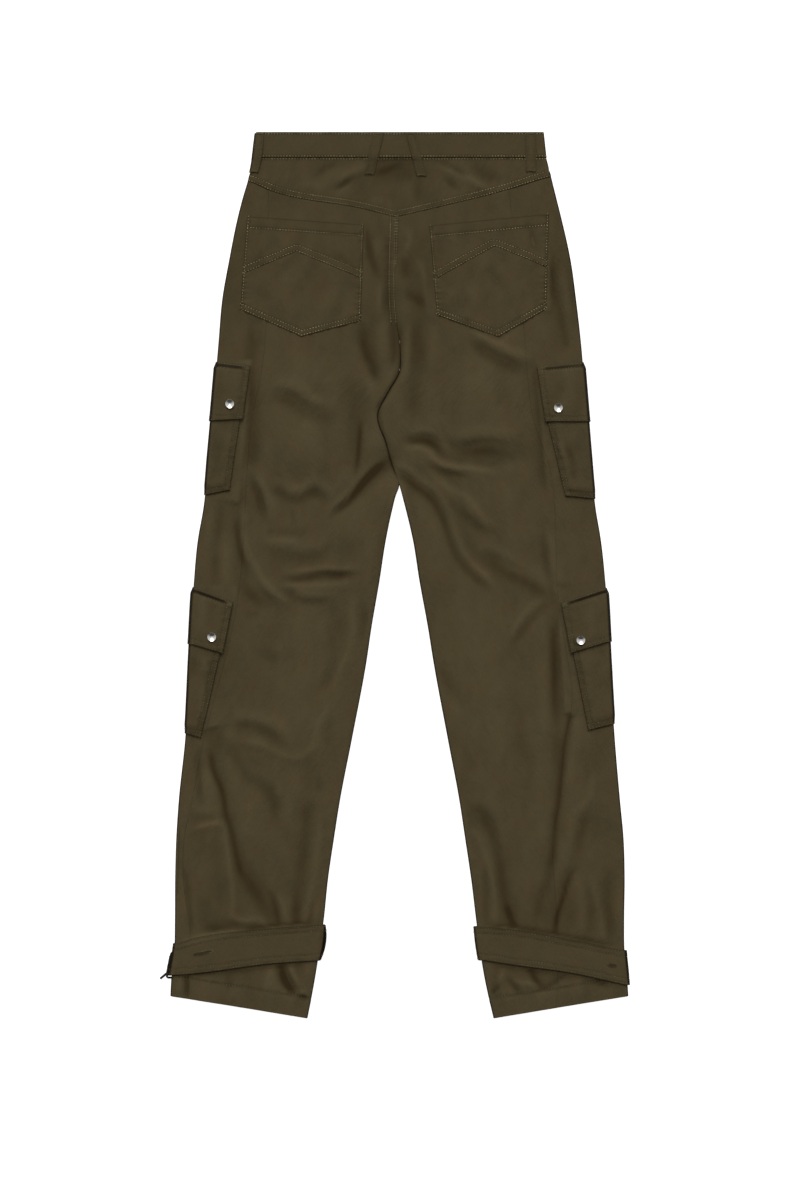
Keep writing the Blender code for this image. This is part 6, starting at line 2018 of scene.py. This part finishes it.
class CargoClothSettings(bpy.types.PropertyGroup):
    """Colour and drape of the cloth."""
    colour: FloatVectorProperty(name="Cloth colour", description="Colour of the twill",
                                **COLOUR, default=(0.0580, 0.0444, 0.0220))
    depth: FloatProperty(name="Crease depth", description="Scales the height of all creases",
                         default=1.0, min=0.0, max=1.2, subtype="FACTOR")
    yarn: FloatProperty(name="Twill pitch", description="Distance between two diagonal ridges",
                        default=0.0011, min=0.0005, max=0.003, unit="LENGTH")
    # Seam shade is the strength of the painted shade in the rows and along the sewn edges.
    seam_dark: FloatProperty(name="Seam shade", description="How dark the sewn lines are",
                             default=0.85, min=0.0, max=1.0, subtype="FACTOR")
    # Fold shade is the strength of the painted shade in the hollows of the folds, and of the
    # painted light on their ridges.
    fold_dark: FloatProperty(name="Fold shade", description="How dark a millimetre of hollow is",
                             default=0.17, min=0.0, max=0.5, subtype="FACTOR")
    step: FloatProperty(name="Grid step", description="Distance between two lines of the mesh",
                        default=0.003, min=0.002, max=0.02, unit="LENGTH")


class CargoThreadSettings(bpy.types.PropertyGroup):
    """Sizes and colour of the stitches."""
    colour: FloatVectorProperty(name="Thread colour", description="Colour of the sewing thread",
                                **COLOUR, default=(0.360, 0.305, 0.150))
    pitch: FloatProperty(name="Stitch pitch", description="Distance from stitch to stitch",
                         default=0.0038, min=0.001, max=0.01, unit="LENGTH")
    length: FloatProperty(name="Stitch length", description="Length of one visible stitch",
                          default=0.0021, min=0.001, max=0.01, unit="LENGTH")
    thickness: FloatProperty(name="Thread thickness", description="Thickness of the thread",
                             default=0.00092, min=0.0001, max=0.002, unit="LENGTH")


class CargoMetalSettings(bpy.types.PropertyGroup):
    """Colours of the snaps, the button and the buckles."""
    steel: FloatVectorProperty(name="Snap colour", description="Colour of the plated snaps",
                               **COLOUR, default=(0.78, 0.75, 0.70))
    steel_rough: FloatProperty(name="Snap roughness", description="Roughness of the plating",
                               default=0.04, min=0.0, max=1.0, subtype="FACTOR")
    gunmetal: FloatVectorProperty(name="Buckle colour", description="Colour of the buckles",
                                  **COLOUR, default=(0.009, 0.008, 0.008))


class CargoStageSettings(bpy.types.PropertyGroup):
    """Camera, floor and light."""
    lens: FloatProperty(name="Lens", description="Focal length", default=120.0, min=20.0,
                        unit="CAMERA")
    view_height: FloatProperty(name="View height", description="Length seen at the object",
                               default=1.56, min=0.1, unit="LENGTH")
    floor_tone: FloatProperty(name="Floor tone", description="Grey value of the paper floor",
                              default=0.40, min=0.0, max=1.0, subtype="FACTOR")
    glow: FloatProperty(name="Floor glow", description="Light that the floor gives of itself",
                        default=0.92, min=0.0)
    sun: FloatProperty(name="Key light", description="Strength of the key light",
                       default=2.0, min=0.0)
    sky: FloatProperty(name="Fill light", description="Strength of the light from all round",
                       default=0.618, min=0.0)


class CargoSettings(bpy.types.PropertyGroup):
    """All settings of the trousers."""
    cloth: PointerProperty(type=CargoClothSettings, name="Cloth", description="The twill")
    thread: PointerProperty(type=CargoThreadSettings, name="Thread", description="The stitches")
    metal: PointerProperty(type=CargoMetalSettings, name="Metal", description="The fittings")
    stage: PointerProperty(type=CargoStageSettings, name="Stage", description="The studio")


def look_of(name):
    """A material by its name, made from the settings when it is first asked for."""
    ready = bpy.data.materials.get(name)
    if ready is not None:
        return ready
    settings = bpy.context.scene.cargo_trousers
    cloth, thread, metal = settings.cloth, settings.thread, settings.metal
    if name == "dry_olive_twill":
        return twill(name, cloth.colour, cloth.yarn * 10.0, cloth.seam_dark, cloth.fold_dark)
    if name == "sewing_thread":
        return thread_look(name, thread.colour)
    if name == "worn_thread":
        return thread_look(name, [0.30 * channel for channel in thread.colour])
    if name == "plated_steel":
        return plated(name, metal.steel, metal.steel_rough, 0.8)
    if name == "dark_gunmetal":
        return plated(name, metal.gunmetal, 0.50, 1.4, 0.25, 0.12)
    if name == "slit_shadow":
        return painted_slit_shadow(name, (0.040, 0.028, 0.014))
    raise RuntimeError(f"{name}: no such material")


def step_of(context):
    return context.scene.cargo_trousers.cloth.step / MM


# ---- operators ---------------------------------------------------------------------------------
class CARGO_OT_creases(bpy.types.Operator):
    """Lay the creases of the back, of the pockets and of the ground side"""
    bl_idname = "cargo.creases"
    bl_label = "Lay the creases"

    def execute(self, context):
        lay_reliefs(context.scene.cargo_trousers.cloth.depth)
        return {"FINISHED"}


class CARGO_OT_legs(bpy.types.Operator):
    """Make the back, side and front panels of both legs"""
    bl_idname = "cargo.legs"
    bl_label = "Make the leg panels"

    def execute(self, context):
        cloth, step = look_of("dry_olive_twill"), step_of(context)
        for side in (-1, 1):
            back_panel(side, cloth, step)
            side_panel(side, cloth, step)
            front_panel(side, cloth, step)
        return {"FINISHED"}


class CARGO_OT_waist(bpy.types.Operator):
    """Make the yoke, the waistband and the belt loops"""
    bl_idname = "cargo.waist"
    bl_label = "Make the waist"

    def execute(self, context):
        cloth, step = look_of("dry_olive_twill"), step_of(context)
        yoke(cloth, step)
        waistband_back(cloth, step)
        for side in (-1, 1):
            waistband_front(side, cloth, step)
        for loop in BACK_LOOPS:
            belt_loop(loop, False, cloth, 2.0)
        for loop in FRONT_LOOPS:
            belt_loop(loop, True, cloth, 2.0)
        side_loop_left(cloth, 2.0)
        return {"FINISHED"}


class CARGO_OT_back_pockets(bpy.types.Operator):
    """Make both back pockets, each of two pieces joined in a chevron"""
    bl_idname = "cargo.back_pockets"
    bl_label = "Make the back pockets"

    def execute(self, context):
        for pocket in BACK_POCKETS:
            for level in ("upper", "lower"):
                back_pocket(pocket, level, look_of("dry_olive_twill"), step_of(context))
        return {"FINISHED"}


class CARGO_OT_cargo_pockets(bpy.types.Operator):
    """Make the four cargo pockets and their flaps"""
    bl_idname = "cargo.cargo_pockets"
    bl_label = "Make the cargo pockets"

    def execute(self, context):
        for pocket in CARGO_POCKETS:
            cargo_pocket(pocket, look_of("dry_olive_twill"), step_of(context))
            cargo_flap(pocket, look_of("dry_olive_twill"), step_of(context))
        return {"FINISHED"}


class CARGO_OT_straps(bpy.types.Operator):
    """Make the ankle straps, their buttonholes and their buckles"""
    bl_idname = "cargo.straps"
    bl_label = "Make the ankle straps"

    def execute(self, context):
        for side in (-1, 1):
            ankle_strap_back(side, look_of("dry_olive_twill"), step_of(context))
            ankle_strap_front(side, look_of("dry_olive_twill"), step_of(context))
            ankle_buckle(side, look_of("dark_gunmetal"))
        buttonholes(look_of("slit_shadow"))
        return {"FINISHED"}


class CARGO_OT_metal(bpy.types.Operator):
    """Make the snaps of the flaps and the waist button"""
    bl_idname = "cargo.metal"
    bl_label = "Make the snaps and button"

    def execute(self, context):
        for pocket in CARGO_POCKETS:
            for face in ("back", "front"):
                snap(f"snap_{pocket.name}_{face}", look_of("plated_steel"))
        waist_button(look_of("plated_steel"))
        return {"FINISHED"}


class CARGO_OT_stitches(bpy.types.Operator):
    """Sew all rows of stitches, bars and buttonholes"""
    bl_idname = "cargo.stitches"
    bl_label = "Sew the stitches"

    def execute(self, context):
        self.gather()
        settings = context.scene.cargo_trousers.thread
        for (group, kind), lines in sorted(LINES.items()):
            if kind == RUN:
                thread = look_of("worn_thread" if group in WORN_GROUPS else "sewing_thread")
                sew(f"stitches_{group}", lines, thread, settings.pitch, settings.length,
                    settings.thickness)
            else:
                sew(f"tacks_{group}", lines, look_of("worn_thread"), TACK_PITCH, TACK_LENGTH,
                    settings.thickness * 0.8, 0.5 * math.pi)
        return {"FINISHED"}

    def gather(self):
        for name in SHELLS:
            group = next((group for word, group in STITCH_GROUPS if name.startswith(word)), None)
            if group is None:
                raise RuntimeError(f"{name}: belongs to no group of stitches")
            sew_piece(name, group)
        for name in SHELLS:
            if name.startswith("belt_loop"):
                for edge in ("top", "bottom"):
                    tack(name, "waist", Row(edge, 1.4, 0.12, 0.88))
            if name.startswith("back_pocket") and name.endswith("upper"):
                for edge in ("first", "last"):
                    tack(name, "back_pockets", Row(edge, 4.3, 0.015, 0.14))
        front_line(1, ((38, 34), (38, 100), (37, 142), (28, 166), (4, 184)), "legs_right")
        front_line(1, ((44, 34), (44, 100), (43, 146), (32, 172), (4, 191)), "legs_right")


WORN_GROUPS = ("loops", "cargo_pockets", "straps", "legs_left", "legs_right")
STITCH_GROUPS = (
    ("waistband", "waist"), ("yoke", "waist"), ("belt_loop", "loops"),
    ("back_panel_left", "legs_left"), ("side_panel_left", "legs_left"),
    ("front_panel_left", "legs_left"), ("back_panel_right", "legs_right"),
    ("side_panel_right", "legs_right"), ("front_panel_right", "legs_right"),
    ("back_pocket", "back_pockets"), ("cargo", "cargo_pockets"), ("ankle_strap", "straps"),
)


VIEW_CENTRE = (0.00644, -0.03215, 0.008)  # what the camera looks at, in metres
Stop = namedtuple("Stop", "place tone")
# How bright the studio is all round, from the side of the hems to the side of the waist.
SKY_STOPS = (Stop(0.0, 0.06), Stop(0.24, 0.14), Stop(0.36, 0.66), Stop(0.50, 1.0),
             Stop(0.75, 1.38), Stop(1.0, 1.5))


class CARGO_OT_stage(bpy.types.Operator):
    """Make the camera, the paper floor and the studio light"""
    bl_idname = "cargo.stage"
    bl_label = "Set the stage"

    def execute(self, context):
        settings = context.scene.cargo_trousers.stage
        self.camera(context, settings)
        self.floor(settings)
        self.light(context, settings)
        context.scene.view_settings.view_transform = "Standard"
        return {"FINISHED"}

    def camera(self, context, settings):
        data = bpy.data.cameras.new("camera_above")
        data.lens = settings.lens
        data.sensor_fit = "AUTO"
        data.sensor_width = 36.0
        camera = put_in_scene("camera_above", data)
        away = settings.lens / data.sensor_width * settings.view_height
        camera.location = Vector(VIEW_CENTRE) + Vector((0.0, 0.0, away))
        context.scene.camera = camera

    def floor(self, settings):
        half = 6.0
        mesh = bpy.data.meshes.new("paper_floor")
        mesh.from_pydata([(-half, -half, -0.0003), (half, -half, -0.0003), (half, half, -0.0003),
                          (-half, half, -0.0003)], [], [(0, 1, 2, 3)])
        mesh.materials.append(floor_look("floor_paper", settings.floor_tone, settings.glow))
        floor = put_in_scene("paper_floor", mesh)

    def light(self, context, settings):
        data = bpy.data.lights.new("key_sun", "SUN")
        data.energy = settings.sun
        data.angle = math.radians(38)
        sun = put_in_scene("key_sun", data)
        sun.rotation_euler = Vector((-0.06, 0.90, 0.82)).to_track_quat("Z", "Y").to_euler()
        world = bpy.data.worlds.new("studio")
        world.use_nodes = True
        tree = world.node_tree
        tree.nodes.clear()
        output = tree.nodes.new("ShaderNodeOutputWorld")
        shine = tree.nodes.new("ShaderNodeBackground")
        place = tree.nodes.new("ShaderNodeTexCoord")
        split = tree.nodes.new("ShaderNodeSeparateXYZ")
        ramp = tree.nodes.new("ShaderNodeValToRGB")
        tree.links.new(place.outputs["Generated"], split.inputs[0])
        shift = tree.nodes.new("ShaderNodeMath")
        shift.operation = "MULTIPLY_ADD"
        shift.inputs[1].default_value = 0.5
        shift.inputs[2].default_value = 0.5
        tree.links.new(split.outputs[1], shift.inputs[0])
        tree.links.new(shift.outputs[0], ramp.inputs["Fac"])
        elements, brightest = ramp.color_ramp.elements, SKY_STOPS[-1].tone
        for element, stop in zip(elements, (SKY_STOPS[0], SKY_STOPS[-1])):
            element.position = stop.place
            element.color = rgba((stop.tone / brightest,) * 3)
        for stop in SKY_STOPS[1:-1]:
            elements.new(stop.place).color = rgba((stop.tone / brightest,) * 3)
        tree.links.new(ramp.outputs["Color"], shine.inputs["Color"])
        shine.inputs["Strength"].default_value = settings.sky * brightest
        tree.links.new(shine.outputs["Background"], output.inputs["Surface"])
        context.scene.world = world


class CARGO_PT_panel(bpy.types.Panel):
    """Lists the steps and their settings"""
    bl_idname = "CARGO_PT_panel"
    bl_label = "Cargo trousers"
    bl_space_type = "VIEW_3D"
    bl_region_type = "UI"
    bl_category = "Trousers"

    def draw(self, context):
        column = self.layout.column(align=True)
        for step in STEPS:
            column.operator(step.bl_idname)
        settings = context.scene.cargo_trousers
        for group in (settings.cloth, settings.thread, settings.metal, settings.stage):
            box = self.layout.box()
            for key in group.__annotations__:
                box.prop(group, key)


STEPS = (CARGO_OT_creases, CARGO_OT_legs, CARGO_OT_waist, CARGO_OT_back_pockets,
         CARGO_OT_cargo_pockets, CARGO_OT_straps, CARGO_OT_metal, CARGO_OT_stitches,
         CARGO_OT_stage)
CLASSES = (CargoClothSettings, CargoThreadSettings, CargoMetalSettings, CargoStageSettings,
           CargoSettings, *STEPS, CARGO_PT_panel)


def register():
    for part in CLASSES:
        bpy.utils.register_class(part)
    bpy.types.Scene.cargo_trousers = PointerProperty(type=CargoSettings)


def unregister():
    del bpy.types.Scene.cargo_trousers
    for part in reversed(CLASSES):
        bpy.utils.unregister_class(part)


def main():
    register()
    bpy.ops.cargo.creases()
    bpy.ops.cargo.legs()
    bpy.ops.cargo.waist()
    bpy.ops.cargo.back_pockets()
    bpy.ops.cargo.cargo_pockets()
    bpy.ops.cargo.straps()
    bpy.ops.cargo.metal()
    bpy.ops.cargo.stitches()
    bpy.ops.cargo.stage()


if __name__ == "__main__":
    main()
